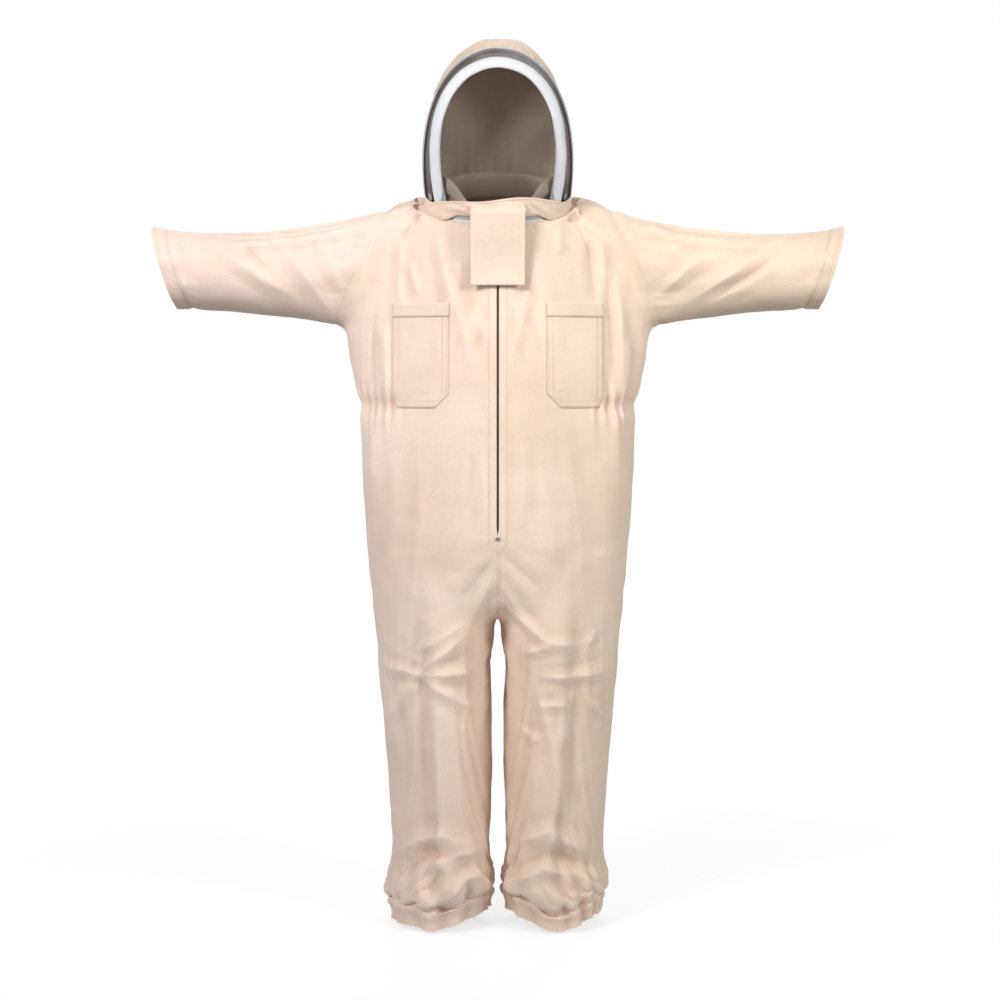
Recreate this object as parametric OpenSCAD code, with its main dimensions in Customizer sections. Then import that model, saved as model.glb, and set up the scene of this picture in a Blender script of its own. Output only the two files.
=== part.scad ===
// Beekeeping suit: a one-piece cotton coverall with a zipped-on fencing-style veil hood, in the shape it
// takes when worn with the arms out. The origin is the centre of the neck zip's circle, +Z is up, the
// front faces -Y, and "left" is the wearer's left, +X. Soft parts are plain closed shells.

/* [Coverall] */
// Thickness of the shells that stand for the cloth
wall = 3; // [2:0.5:4]
// Half width of the chest at the armpits
chest_half = 290; // [280:1:300]
// Half width at the waist, where the elastic pulls it in
waist_half = 266; // [255:1:275]
// Half width at the hips
hip_half = 262; // [255:1:270]
// Height of the crotch below the neck
crotch_drop = 745; // [740:1:760]
// Height of the trouser hems below the neck
hem_drop = 1368; // [1340:1:1400]
// Distance from the centre line to the top of the cuff
cuff_reach = 655; // [640:1:670]
// Half height of a sleeve
sleeve_half = 78; // [74:1:80]

/* [Neck and hood] */
// Radius of the neck zip's circle
ring_r = 134; // [130:0.5:138]
// Forward tilt of the neck zip's circle, in degrees
ring_tilt = 17.5; // [15:0.5:19]
// Height of the front hoop's top
front_hoop_top = 254; // [246:1:264]
// Height of the rear hoop's top
rear_hoop_top = 288; // [280:1:296]
// Width of the white webbing over each hoop
hoop_band_w = 26; // [22:1:30]

/* [Pockets and flap] */
// Width of a chest pocket
pocket_w = 116; // [105:1:125]
// Height of a chest pocket
pocket_h = 198; // [180:1:205]
// Width of the flap over the zip ends
flap_w = 100; // [90:1:110]
// Height of the flap over the zip ends
flap_h = 132; // [124:1:136]

/* [Zips] */
// Length of the front zip
main_zip_len = 558; // [540:1:570]
// Width of one side of zip tape
tape_w = 13; // [11:0.5:14]
// Width of the two coils of a zip together
coil_w = 6; // [5:0.5:7]

/* [Hidden] */

cream = "#e8d2be";
white_webbing = "#f2f3f6";
mesh_black = "#2b2622";
zip_grey = "#b9ab9d";
steel = "#b8babd";
$fn = 48;

// ---- Closed shells between two grids of points ----

// Triangles between two neighbouring rows of a grid, where index(i, j) numbers its points.
function strip(index, rows, cols, flip) = [
    for (i = [0:rows - 2], j = [0:cols - 2])
        let (a = index(i, j), b = index(i, j + 1), c = index(i + 1, j + 1), d = index(i + 1, j))
        each flip ? [[a, c, b], [a, d, c]] : [[a, b, c], [a, c, d]]
];

// One closed solid between an outer and an inner grid of points of the same size. A ring's last column
// meets its first, so closed = true leaves out the two side walls.
module shell(outer, inner, closed = false) {
    rows = len(outer);
    cols = len(outer[0]);
    span = closed ? cols + 1 : cols;
    out = function(i, j) i * cols + j % cols;
    in = function(i, j) rows * cols + i * cols + j % cols;
    first = function(i, j) i == 0 ? out(0, j) : in(0, j);
    last = function(i, j) i == 0 ? out(rows - 1, j) : in(rows - 1, j);
    side_a = function(i, j) i == 0 ? out(j, 0) : in(j, 0);
    side_b = function(i, j) i == 0 ? out(j, cols - 1) : in(j, cols - 1);
    faces = concat(
        strip(out, rows, span, false), strip(in, rows, span, true),
        strip(first, 2, span, true), strip(last, 2, span, false),
        closed ? [] : strip(side_a, 2, rows, false), closed ? [] : strip(side_b, 2, rows, true));
    polyhedron(points = concat([for (r = outer) each r], [for (r = inner) each r]), faces = faces);
}

// A vector made longer by grow.
function longer(v, grow) = v * (1 + grow / norm(v));

// A section is [centre, half width, to the front, to the back]. Its point at angle t, with 0 at +X and
// 270 at the front, moved out by grow.
function section_at(s, t, grow = 0) =
    s[0] + [(s[1] + grow) * cos(t), 0, 0]
    + (sin(t) < 0 ? -sin(t) * longer(s[2], grow) : sin(t) * longer(s[3], grow));

function mix(a, b, v) = a * (1 - v) + b * v;
function spread(from, to, steps) = [for (j = [0:steps]) from + (to - from) * j / steps];
function flipped(p) = [-p[0], p[1], p[2]];

// Mirrors its children to the wearer's right when side is "right".
module on_side(side) {
    if (side == "right")
        mirror([1, 0, 0]) children();
    else
        children();
}

// ---- The neck zip's tilted circle ----

ring_out = [0, cos(ring_tilt), sin(ring_tilt)];
ring_up = [0, -sin(ring_tilt), cos(ring_tilt)];
band_h = 16;

// A point on the neck circle at angle t, up by rise and out by grow.
function ring_at(t, rise = 0, grow = 0) =
    (ring_r + grow) * ([cos(t), 0, 0] + sin(t) * ring_out) + rise * ring_up;

module ring_frame() {
    rotate([ring_tilt, 0, 0]) children();
}

// A round band in the neck circle's frame, between two radii and two heights.
module ring_band(r_in, r_out, low, high) {
    ring_frame()
        rotate_extrude($fn = 96)
            translate([r_in, low])
                square([r_out - r_in, high - low]);
}

// ---- The coverall's body ----

zip_top = [0, -126, -62];
zip_lean = 4.5;
function zip_y(z) = zip_top[1] + (z - zip_top[2]) * tan(zip_lean);

// Half width, height of the front point, and depth and height of the back point, at each height.
body_keys = [
    [4, 190, -66, 140, 26],
    [-8, 238, -95, 146, 5],
    [-48, 262, -125, 150, -40],
    [-120, 276, -165, 152, -110],
    [-170, 284, -195, 153, -165],
    [-215, chest_half, -222, 153, -210],
    [-290, chest_half - 9, -290, 150, -290],
    [-370, waist_half, -370, 146, -370],
    [-480, waist_half + 2, -480, 158, -480],
    [-630, hip_half - 1, -630, 167, -630],
];
function key(z, j) = lookup(z, [for (k = body_keys) [k[0], k[j]]]);
function torso(z) =
    let (front = key(z, 2))
    [[0, 2, z], key(z, 1), [0, zip_y(front) - 2, front - z], [0, key(z, 3) - 2, key(z, 4) - z]];

neck_edge = -(band_h + 0.4);
torso_sections = concat(
    [[neck_edge * ring_up, ring_r, -ring_r * ring_out, ring_r * ring_out]],
    [for (z = [4, -8, -29, -40, -60, -90, -120, -150, -180, -200, -209, -240, -290, -370, -480, -560, -630]) torso(z)],
    [[[0, 0, -690], hip_half - 4, [0, -160, 0], [0, 160, 0]],
    [[0, 0, -crotch_drop], hip_half - 7, [0, -138, 0], [0, 138, 0]]]);

// The armhole is where the sleeve's head, a level oval, meets the body.
sleeve_z = -121;
head_depth = 84;
head_up = 92;
head_down = 88;
function in_armhole(p) =
    norm([p[1] / head_depth, (p[2] - sleeve_z) / (p[2] > sleeve_z ? head_up : head_down)]) < 1;

// Angle past the side, towards the front for side = -1 or the back for 1, at which a section leaves the armhole.
function armhole(s, side, low = 0, high = 60, steps = 14) =
    steps == 0 ? (high < 0.1 ? 0 : high)
    : let (mid = (low + high) / 2)
        in_armhole(section_at(s, side * mid)) ? armhole(s, side, mid, high, steps - 1)
        : armhole(s, side, low, mid, steps - 1);

// Rows of points over one front panel, from its zip edge to the armhole and side seam.
zip_gap = 6.2;
function front_rows(grow) = [
    for (s = torso_sections)
        [for (t = spread(270 + asin(zip_gap / s[1]), 360 - armhole(s, -1), 12)) section_at(s, t, grow)]
];
function back_rows(grow) = [
    for (s = torso_sections)
        [for (t = spread(armhole(s, 1), 180 - armhole(s, 1), 24)) section_at(s, t, grow)]
];

module front_panel(side) {
    color(cream)
        on_side(side)
            shell(front_rows(0), front_rows(-wall));
}

module back_panel() {
    color(cream)
        shell(back_rows(0), back_rows(-wall));
}

// A diamond of cloth where the four leg seams meet.
module crotch_gusset() {
    length = 230;
    width = 60;
    color(cream)
        translate([0, 0, -crotch_drop + 4])
            linear_extrude(wall)
                polygon([[0, -length / 2], [width / 2, 0], [0, length / 2], [-width / 2, 0]]);
}

// A level section through the body below the armholes.
function level_torso(z) = [[0, 2, z], key(z, 1), [0, zip_y(z) - 2, 0], [0, key(z, 3) - 2, 0]];

// Elastic sewn inside the back of the waist, from one side to the other.
module waist_elastic() {
    height = 38;
    rows = function(grow) [for (z = [-390, -390 + height]) [
        for (t = spread(4, 176, 20)) section_at(level_torso(z), t, grow)]];
    color(white_webbing)
        shell(rows(-wall - 3), rows(-wall - 5));
}

// Height of the pocket's mouth, and angle of its inner edge past the front.
pocket_top = -186;
pocket_inner = 18.5;

// A patch pocket that stands clear of the chest, with closed sides and bottom and an open mouth.
module chest_pocket(side) {
    clear = 9;
    sheet = 2.5;
    cut = 22;
    span = 25;
    columns = spread(270 + pocket_inner, 270 + pocket_inner + span, 8);
    depths = concat(spread(0, pocket_h - cut, 5), [pocket_h]);
    // The bottom row is drawn in at both corners, as the cut corners are.
    angle = function(d, t) d < pocket_h ? t : mix(columns[4], t, 0.74);
    rim = function(i, j) j == 0 || j == len(columns) - 1 || i == len(depths) - 1;
    grid = function(inside) [for (i = [0:len(depths) - 1]) [for (j = [0:len(columns) - 1])
        section_at(level_torso(pocket_top - depths[i]), angle(depths[i], columns[j]),
            inside ? (rim(i, j) ? 1.2 : clear) : clear + sheet)]];
    color(cream)
        on_side(side)
            shell(grid(false), grid(true));
}

// ---- Sleeves ----

// A sleeve section is [centre, half depth, to the top, to the bottom], and angle q has 0 at the back and
// 90 at the top.
function sleeve_section(x, half_depth, half_height, top_x, bottom_x) =
    [[x, 2, sleeve_z], half_depth, [top_x, 0, half_height + 4], [bottom_x, 0, -half_height]];
function sleeve_at(s, q, grow = 0) =
    s[0] + [0, (s[1] + grow) * cos(q), 0]
    + (sin(q) > 0 ? sin(q) * longer(s[2], grow) : -sin(q) * longer(s[3], grow));

mitre = sleeve_section(380, 78, 80, -80, 90);
shoulder_sections = [
    sleeve_section(318, 81, 84, -38, 46),
    mitre,
];
cuff_fold = sleeve_section(cuff_reach - 50, 77, sleeve_half - 1, 22, -22);
cuff_edge = sleeve_section(cuff_reach - 24, 77, sleeve_half, 24, -24);
sleeve_sections = [
    [mitre[0] + [1.5, 0, 0], mitre[1], mitre[2], mitre[3]],
    sleeve_section(446, 76, 77, -38, 46),
    sleeve_section(520, 75, 75, 0, 0),
    cuff_fold,
];

function sleeve_rows(sections, grow) =
    [for (s = sections) [for (j = [0:27]) sleeve_at(s, j * 360 / 28, grow)]];

module sleeve_tube(side, sections, thick = wall, grow = 0) {
    on_side(side)
        shell(sleeve_rows(sections, grow), sleeve_rows(sections, grow - thick), closed = true);
}

// Points round the armhole's edge: up the front from the underarm, then down the back.
hole_sections = [for (s = torso_sections) if (armhole(s, -1) > 0 || armhole(s, 1) > 0) s];
armhole_edge = concat(
    [for (i = [len(hole_sections) - 1:-1:0]) section_at(hole_sections[i], -armhole(hole_sections[i], -1))],
    [for (s = hole_sections) section_at(s, armhole(s, 1))]);

// The head of the sleeve, which folds where the sleeve swings: from just outside the armhole to the mitre.
module shoulder(side) {
    middle = [0, 2, sleeve_z];
    turn = [for (p = armhole_edge) atan2(p[2] - sleeve_z, p[1] - 2)];
    seam = function(grow) [for (p = armhole_edge)
        let (out = [0, p[1], p[2]] - middle) p + [1, 0, 0] + out * grow / norm(out)];
    rows = function(grow) concat(
        [seam(grow)], [for (s = shoulder_sections) [for (q = turn) sleeve_at(s, q, grow)]]);
    color(cream)
        on_side(side)
            shell(rows(0), rows(-wall), closed = true);
}

module sleeve(side) {
    color(cream) sleeve_tube(side, sleeve_sections);
}

// The turned hem at the wrist, twice as thick as the sleeve.
module cuff_hem(side) {
    start = [cuff_fold[0] + [0.5, 0, 0], cuff_fold[1], cuff_fold[2], cuff_fold[3]];
    color(cream) sleeve_tube(side, [start, cuff_edge], wall + 1);
}

// ---- Trouser legs ----

// A leg section: height, centre's distance from the middle, half width and half depth.
function leg_section(z, x, half, depth) = [[x, 0, z], half, [0, -depth, 0], [0, depth, 0]];

knee_z = -930;
hem_h = 28;
thigh_sections = [
    leg_section(-crotch_drop - 0.5, 128, 125, 136),
    leg_section(-850, 123, 118, 130),
    leg_section(knee_z, 119, 114, 126),
];
leg_sections = [
    leg_section(knee_z - 2, 119, 114, 126),
    leg_section(-1040, 114, 109, 122),
    leg_section(-1150, 110, 104, 119),
    leg_section(-1260, 108, 101, 117),
    leg_section(-hem_drop + hem_h, 108, 97, 114),
];

function leg_rows(sections, grow) =
    [for (s = sections) [for (j = [0:27]) section_at(s, j * 360 / 28, grow)]];

module leg_tube(side, sections, thick = wall, grow = 0) {
    on_side(side)
        shell(leg_rows(sections, grow), leg_rows(sections, grow - thick), closed = true);
}

// The top of the leg, which folds where the leg swings.
module thigh(side) {
    color(cream) leg_tube(side, thigh_sections);
}

module leg(side) {
    color(cream) leg_tube(side, leg_sections);
}

hem_sections = [
    leg_section(-hem_drop + hem_h - 0.5, 108, 97, 114),
    leg_section(-hem_drop, 108, 90, 106),
];

// The hem's casing, which the ankle elastic runs in.
module leg_hem(side) {
    color(cream) leg_tube(side, hem_sections);
}

module ankle_elastic(side) {
    middle = leg_section(-hem_drop + hem_h / 2, 108, 93.5, 110);
    rows = function(grow) [for (dz = [-7, 7]) [for (j = [0:27])
        section_at(middle, j * 360 / 28, grow) + [0, 0, dz]]];
    color(white_webbing)
        on_side(side)
            shell(rows(-wall - 2.5), rows(-wall - 4.5), closed = true);
}

// ---- Neck of the coverall ----

// The stand between the body and the neck zip.
module neck_band() {
    color(cream) ring_band(ring_r - 3, ring_r - 1, -band_h + 1, -slider_w / 2 - 0.6);
}

// A shirt collar that stands inside the neck zip and folds over, open at the front.
module collar() {
    profile = [
        [130.5, -17], [121, -4], [115, 8], [111.5, 22], [112, 31], [115, 34], [118.5, 32],
        [125, 13], [126, 7], [124, 7], [117, 27], [115, 29], [114.3, 23], [117.5, 9], [123, -3], [130.5, -13],
    ];
    opening = 40;
    color(cream)
        ring_frame()
            rotate([0, 0, -90 + opening / 2])
                rotate_extrude(angle = 360 - opening, $fn = 96)
                    polygon(profile);
}

// The two loop patches that the flap's hooks hold, one each side of the front zip.
patch_top = -118;
module loop_patch() {
    color(white_webbing)
        zip_frame()
            for (side = [-1, 1])
                translate([side * (flap_w / 4 + 4) - 14, -3.2, patch_top - zip_top[2] - 28])
                    cube([28, 2.4, 28]);
}

// ---- The front zip, in a frame that hangs from its top with -Z along it and -Y outward ----

module zip_frame() {
    translate(zip_top)
        rotate([-zip_lean, 0, 0])
            children();
}

module main_zip_tape(side) {
    tape_len = main_zip_len - 6;
    color(zip_grey)
        zip_frame()
            on_side(side)
                translate([coil_w / 2 + 0.1, 4, -main_zip_len])
                    cube([tape_w, 0.8, tape_len]);
}

// The two meshed coils, one solid along each tape's edge. They part above the slider.
module main_zip_coil() {
    coil_len = main_zip_len - 2.2;
    color(zip_grey)
        zip_frame()
            for (x = [-coil_w / 2, 0.05])
                translate([x, 2.7, -main_zip_len])
                    cube([coil_w / 2 - 0.05, 2.2, coil_len]);
}

// The metal stops: a wide box at the bottom and a small one on each tape at the top.
module main_zip_end_stops() {
    color(steel)
        zip_frame() {
            translate([-coil_w / 2 - 1, 1.9, -main_zip_len - 7]) cube([coil_w + 2, 3.6, 6.5]);
            for (x = [-coil_w / 2, 0.3])
                translate([x, 2.7, 0.4]) cube([coil_w / 2 - 0.3, 2.2, 3]);
        }
}

// ---- The neck zip: the coverall's half is below the circle and the hood's is above ----

tape_gap = 0.15;
// The coils end where the two sliders' posts stand, either side of the front.
coil_end = 3.4;
module neck_coil(low, high) {
    ring_frame()
        rotate([0, 0, -90 + coil_end])
            rotate_extrude(angle = 360 - 2 * coil_end, $fn = 96)
                translate([ring_r - 1.1, low])
                    square([2.2, high - low]);
}

module neck_zip_lower_tape() {
    color(white_webbing) ring_band(ring_r - 0.4, ring_r + 0.4, -tape_w, -coil_w / 2);
}

module neck_zip_lower_coil() {
    color(zip_grey) neck_coil(-coil_w / 2 + tape_gap, -tape_gap);
}

module neck_zip_upper_tape() {
    color(white_webbing) ring_band(ring_r - 0.4, ring_r + 0.4, coil_w / 2, tape_w);
}

module neck_zip_upper_coil() {
    color(zip_grey) neck_coil(tape_gap, coil_w / 2 - tape_gap);
}

// ---- Zip sliders: the coils run through the middle along Z, and -Y is outward ----

slider_l = 13;
slider_w = 10;
plate = 1;
mouth = 5.2;
bail_r = 0.8;
pull_len = 17;
neck_pull_len = 12;
bail_y = -mouth / 2 - plate - 2.2;

// Two plates joined by a post at the open end, with a crossbar for the pull.
module slider_body() {
    color(steel) {
        for (y = [-mouth / 2 - plate, mouth / 2])
            translate([-slider_w / 2, y, -slider_l / 2])
                cube([slider_w, plate, slider_l]);
        translate([-1, -mouth / 2 - 0.1, slider_l / 2 - 1.4]) cube([2, mouth + 0.2, 1.4]);
        for (x = [-4.6, 3.4])
            translate([x, bail_y - 1, -1.2]) cube([1.2, -bail_y - mouth / 2 + 0.2, 2.4]);
        translate([-4, bail_y, 0]) rotate([0, 90, 0]) cylinder(r = bail_r, h = 8);
    }
}

// A flat pull whose eye turns on the crossbar, with a hole at its free end.
module slider_pull(length) {
    eye_r = 1.9;
    thick = 1.4;
    color(steel)
        translate([0, bail_y, 0])
            difference() {
                union() {
                    translate([-3, 0, 0]) rotate([0, 90, 0]) cylinder(r = eye_r, h = 6);
                    translate([-3, -eye_r, -length]) cube([6, thick, length]);
                }
                translate([-4, 0, 0]) rotate([0, 90, 0]) cylinder(r = bail_r + 0.06, h = 8);
                translate([0, -eye_r - 1, -length + 3.5]) rotate([-90, 0, 0]) cylinder(r = 1.6, h = thick + 2);
            }
}

module main_slider_place() {
    zip_frame()
        translate([0, 3.8, -slider_l / 2 - 0.4])
            children();
}

// A neck slider stands beside the front, and its length lies along the circle.
slider_angle = 5.5;
module neck_slider_place(side) {
    on_side(side)
        ring_frame()
            rotate([0, 0, -90 + slider_angle])
                translate([ring_r, 0, 0])
                    rotate([0, 0, 90])
                        rotate([0, -90, 0])
                            children();
}

// ---- The hood ----

// A hoop is [centre of its feet, half width at the feet, to its top, fullness]. Angle s has 0 at the left
// foot and 180 at the right one.
front_foot = 34.5;
rear_foot = 2;
function hoop(foot, top_y, top_z, full) =
    let (p = ring_at(-foot, tape_w + 1.2, 0.8))
    [[0, p[1], p[2]], p[0], [0, top_y, top_z] - [0, p[1], p[2]], full];
function hoop_at(h, s, grow = 0) =
    h[0] + [(h[1] + grow) * cos(s) + h[3] * sin(2 * s), 0, 0] + sin(s) * longer(h[2], grow);

front_hoop = hoop(front_foot, -112, front_hoop_top, 27);
rear_hoop = hoop(rear_foot, -15, rear_hoop_top, 18);
dome_bulge = [0, 78, 124];
veil_bulge = [0, -34, 0];
skirt_top = -3;

// The cloth back of the hood, from the rear hoop down to the back of the neck.
function dome_at(s, v, grow) =
    mix(hoop_at(rear_hoop, s, grow), ring_at(rear_foot * -cos(s) + s, tape_w + 1, grow), v)
    + 4 * v * (1 - v) * sin(s) * dome_bulge;

// The mesh between the two hoops.
function side_at(s, v, grow) = mix(hoop_at(front_hoop, s, grow), hoop_at(rear_hoop, s, grow), v);

// A point of the skirt's top edge, in front of the neck circle.
function skirt_edge(s, grow) =
    let (p = ring_at(-front_foot - (180 - 2 * front_foot) * s / 180, tape_w, grow))
    [p[0], p[1] - 3, max(p[2] + 4, skirt_top)];

// The mesh in front of the face, from the front hoop down to the skirt.
function face_at(s, v, grow) =
    mix(hoop_at(front_hoop, s, grow), skirt_edge(s, grow), v) + 4 * v * (1 - v) * sin(s) * veil_bulge;

module hood_back() {
    rows = function(grow) [for (v = spread(0.03, 1, 10)) [for (s = spread(3, 177, 26)) dome_at(s, v, grow)]];
    color(cream) shell(rows(0), rows(-wall));
}

module veil_sides() {
    rows = function(grow) [for (v = [0.24, 0.5, 0.84]) [for (s = spread(0, 180, 28)) side_at(s, v, grow)]];
    color(mesh_black) shell(rows(0), rows(-1.5));
}

module veil_front() {
    rows = function(grow) [for (v = spread(0.06, 0.94, 8)) [for (s = spread(12, 168, 24)) face_at(s, v, grow)]];
    color(mesh_black) shell(rows(0), rows(-1.5));
}

// Webbing along a hoop: a flat band with its middle on the hoop.
module hoop_band(h, width, low, high, from = 0, to = 180) {
    along = [0, width / 2, 0];
    rows = function(grow) [for (k = [-1, 1]) [for (s = spread(from, to, 30)) hoop_at(h, s, grow) + k * along]];
    shell(rows(high), rows(low));
}

module front_hoop_band() {
    color(white_webbing) hoop_band(front_hoop, hoop_band_w, 0.5, 3);
}

module rear_hoop_band() {
    color(white_webbing) hoop_band(rear_hoop, 12, 0.5, 3, 1, 179);
}

// Flat spring steel that holds each hoop open.
module front_hoop_boning() {
    color(steel) hoop_band(front_hoop, 6, -3.6, -2.6, 3, 177);
}

module rear_hoop_boning() {
    color(steel) hoop_band(rear_hoop, 6, -5, -4, 3, 177);
}

hinge_y = -148;
hinge_z = -28;

// The cloth band in front of the chin, and the lap that the flap hangs from.
module hood_skirt() {
    columns = spread(6, 174, 26);
    low = function(s, grow) ring_at(-front_foot - (180 - 2 * front_foot) * s / 180, tape_w + 0.6, grow);
    rows = function(grow) [
        [for (s = columns) low(s, grow)],
        [for (s = columns) mix(low(s, grow), skirt_edge(s, grow), 0.5) - [0, 2, 0]],
        [for (s = columns) skirt_edge(s, grow)]];
    color(cream) {
        shell(rows(2.5), rows(0));
        translate([-flap_w / 2, hinge_y + 1.4, hinge_z + 1.55]) cube([flap_w, 13.5, 8]);
    }
}

// ---- The flap that covers the zip ends ----

module chest_flap() {
    color(cream) {
        translate([-flap_w / 2, hinge_y, hinge_z]) rotate([0, 90, 0]) cylinder(r = 1.25, h = flap_w);
        translate([-flap_w / 2, hinge_y - 1.25, hinge_z - flap_h]) cube([flap_w, 2.5, flap_h]);
    }
}

module hook_patch() {
    color(white_webbing)
        for (side = [-1, 1])
            translate([side * (flap_w / 4 + 4) - 13, hinge_y + 1.35, patch_top - 27])
                cube([26, 1.6, 26]);
}

front_panel("right");  // front_panel_right
front_panel("left");  // front_panel_left
back_panel();
crotch_gusset();
waist_elastic();
chest_pocket("right");  // chest_pocket_right
chest_pocket("left");  // chest_pocket_left
shoulder("right");  // shoulder_right
shoulder("left");  // shoulder_left
thigh("right");  // thigh_right
thigh("left");  // thigh_left
neck_band();
collar();
loop_patch();
main_zip_tape("right");  // main_zip_tape_right
main_zip_tape("left");  // main_zip_tape_left
main_zip_coil();
main_zip_end_stops();
neck_zip_lower_tape();
neck_zip_lower_coil();
sleeve("right");  // sleeve_right
sleeve("left");  // sleeve_left
cuff_hem("right");  // cuff_hem_right
cuff_hem("left");  // cuff_hem_left
leg("right");  // leg_right
leg("left");  // leg_left
leg_hem("right");  // leg_hem_right
leg_hem("left");  // leg_hem_left
ankle_elastic("right");  // ankle_elastic_right
ankle_elastic("left");  // ankle_elastic_left
hood_back();
veil_front();
veil_sides();
front_hoop_band();
front_hoop_boning();
rear_hoop_band();
rear_hoop_boning();
hood_skirt();
neck_zip_upper_tape();
neck_zip_upper_coil();
chest_flap();
hook_patch();
main_slider_place() slider_body();  // main_zip_slider
main_slider_place() slider_pull(pull_len);  // main_zip_pull
neck_slider_place("right") slider_body();  // neck_zip_slider_right
neck_slider_place("right") slider_pull(neck_pull_len);  // neck_zip_pull_right
neck_slider_place("left") slider_body();  // neck_zip_slider_left
neck_slider_place("left") slider_pull(neck_pull_len);  // neck_zip_pull_left
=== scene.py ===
import bmesh
import bpy
import numpy as np
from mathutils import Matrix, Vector
from mathutils.bvhtree import BVHTree


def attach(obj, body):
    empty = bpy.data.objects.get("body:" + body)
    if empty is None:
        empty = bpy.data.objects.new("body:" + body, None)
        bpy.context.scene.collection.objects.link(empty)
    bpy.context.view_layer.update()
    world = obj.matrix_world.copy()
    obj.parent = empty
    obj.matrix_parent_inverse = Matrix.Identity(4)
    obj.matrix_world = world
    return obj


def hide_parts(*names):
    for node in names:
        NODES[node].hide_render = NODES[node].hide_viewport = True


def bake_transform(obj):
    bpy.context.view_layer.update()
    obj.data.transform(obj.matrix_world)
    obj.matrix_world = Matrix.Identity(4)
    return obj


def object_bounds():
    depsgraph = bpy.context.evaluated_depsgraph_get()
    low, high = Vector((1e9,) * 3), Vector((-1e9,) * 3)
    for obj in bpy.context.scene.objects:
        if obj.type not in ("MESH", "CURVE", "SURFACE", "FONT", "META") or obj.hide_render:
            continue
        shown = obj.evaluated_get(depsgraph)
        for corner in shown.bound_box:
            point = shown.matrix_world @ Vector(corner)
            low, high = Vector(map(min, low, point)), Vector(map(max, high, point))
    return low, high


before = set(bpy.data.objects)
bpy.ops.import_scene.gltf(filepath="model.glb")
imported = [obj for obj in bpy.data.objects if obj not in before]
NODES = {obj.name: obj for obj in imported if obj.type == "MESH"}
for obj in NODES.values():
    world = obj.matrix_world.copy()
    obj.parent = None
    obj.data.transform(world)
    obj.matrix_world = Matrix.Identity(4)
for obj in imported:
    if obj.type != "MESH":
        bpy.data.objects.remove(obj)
cad_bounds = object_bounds()
scene = bpy.context.scene


# ---- Camera, light and floor ----

FLOOR_Z = float(cad_bounds[0][2])
CAMERA_PLACE, CAMERA_AIM = (0.004, -4.0, -0.35), (0.004, 0.0, -0.56)
CAMERA_LENS = 75.8
WHITE = (1.0, 1.0, 1.0, 1.0)
WORLD_LIGHT = 0.34


def add_camera():
    data = bpy.data.cameras.new("camera")
    data.lens = CAMERA_LENS
    data.sensor_width = 36
    camera = bpy.data.objects.new("camera", data)
    camera.location = CAMERA_PLACE
    aim = Vector(CAMERA_AIM) - camera.location
    camera.rotation_euler = aim.to_track_quat("-Z", "Y").to_euler()
    scene.collection.objects.link(camera)
    scene.camera = camera


def add_softbox(name, place, aim, size, power, spread=180):
    data = bpy.data.lights.new(name, "AREA")
    data.shape = "RECTANGLE"
    data.size, data.size_y = size
    data.energy = power
    data.spread = np.radians(spread)
    lamp = bpy.data.objects.new(name, data)
    lamp.location = place
    lamp.rotation_euler = (Vector(aim) - Vector(place)).to_track_quat("-Z", "Y").to_euler()
    scene.collection.objects.link(lamp)


def add_world():
    """White surroundings, dimmer as a light than the camera sees them."""
    world = bpy.data.worlds.new("studio")
    world.use_nodes = True
    tree = world.node_tree
    light = tree.nodes["Background"]
    light.inputs["Color"].default_value = WHITE
    light.inputs["Strength"].default_value = WORLD_LIGHT
    seen = tree.nodes.new("ShaderNodeBackground")
    seen.inputs["Color"].default_value = WHITE
    path = tree.nodes.new("ShaderNodeLightPath")
    mix = tree.nodes.new("ShaderNodeMixShader")
    tree.links.new(path.outputs["Is Camera Ray"], mix.inputs["Fac"])
    tree.links.new(light.outputs["Background"], mix.inputs[1])
    tree.links.new(seen.outputs["Background"], mix.inputs[2])
    tree.links.new(mix.outputs["Shader"], tree.nodes["World Output"].inputs["Surface"])
    scene.world = world
    scene.view_settings.view_transform = "Standard"


# ---- Mesh helpers ----

def new_object(name, points, faces):
    mesh = bpy.data.meshes.new(name)
    mesh.from_pydata([tuple(p) for p in points], [], faces)
    mesh.update()
    mesh.polygons.foreach_set("use_smooth", [True] * len(mesh.polygons))
    obj = bpy.data.objects.new(name, mesh)
    scene.collection.objects.link(obj)
    return obj


def grid_faces(rows, cols, closed=False, start=0):
    """Quads between the rows of a grid of points; closed joins the last column to the first."""
    span = cols if closed else cols - 1
    faces = []
    for i in range(rows - 1):
        for j in range(span):
            a, b = start + i * cols + j, start + i * cols + (j + 1) % cols
            faces.append((a, b, b + cols, a + cols))
    return faces


def grid_object(name, grid, closed=False):
    """A sheet through a (rows, columns, 3) grid of points, with UVs in metres along it."""
    grid = np.asarray(grid, float)
    rows, cols = grid.shape[:2]
    obj = new_object(name, grid.reshape(-1, 3), grid_faces(rows, cols, closed))
    across = np.linalg.norm(np.diff(grid, axis=1), axis=2).mean(axis=0)
    along = np.linalg.norm(np.diff(grid, axis=0), axis=2).mean(axis=1)
    u = np.concatenate([[0], np.cumsum(across)])
    v = np.concatenate([[0], np.cumsum(along)])
    step = np.linalg.norm(grid[:, 0] - grid[:, -1], axis=1).mean()
    layer = obj.data.uv_layers.new(name="UVMap")
    uv = []
    for face in obj.data.polygons:
        for k, corner in enumerate(face.vertices):
            i, j = divmod(corner, cols)
            wrapped = closed and j == 0 and k in (1, 2) and face.vertices[0] % cols == cols - 1
            uv += [u[-1] + step if wrapped else u[j], v[i]]
    layer.data.foreach_set("uv", uv)
    return obj


def read(items, attribute):
    """The vector that every vertex or face of a mesh has, as rows."""
    flat = np.empty(len(items) * 3)
    items.foreach_get(attribute, flat)
    return flat.reshape(-1, 3)


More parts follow.
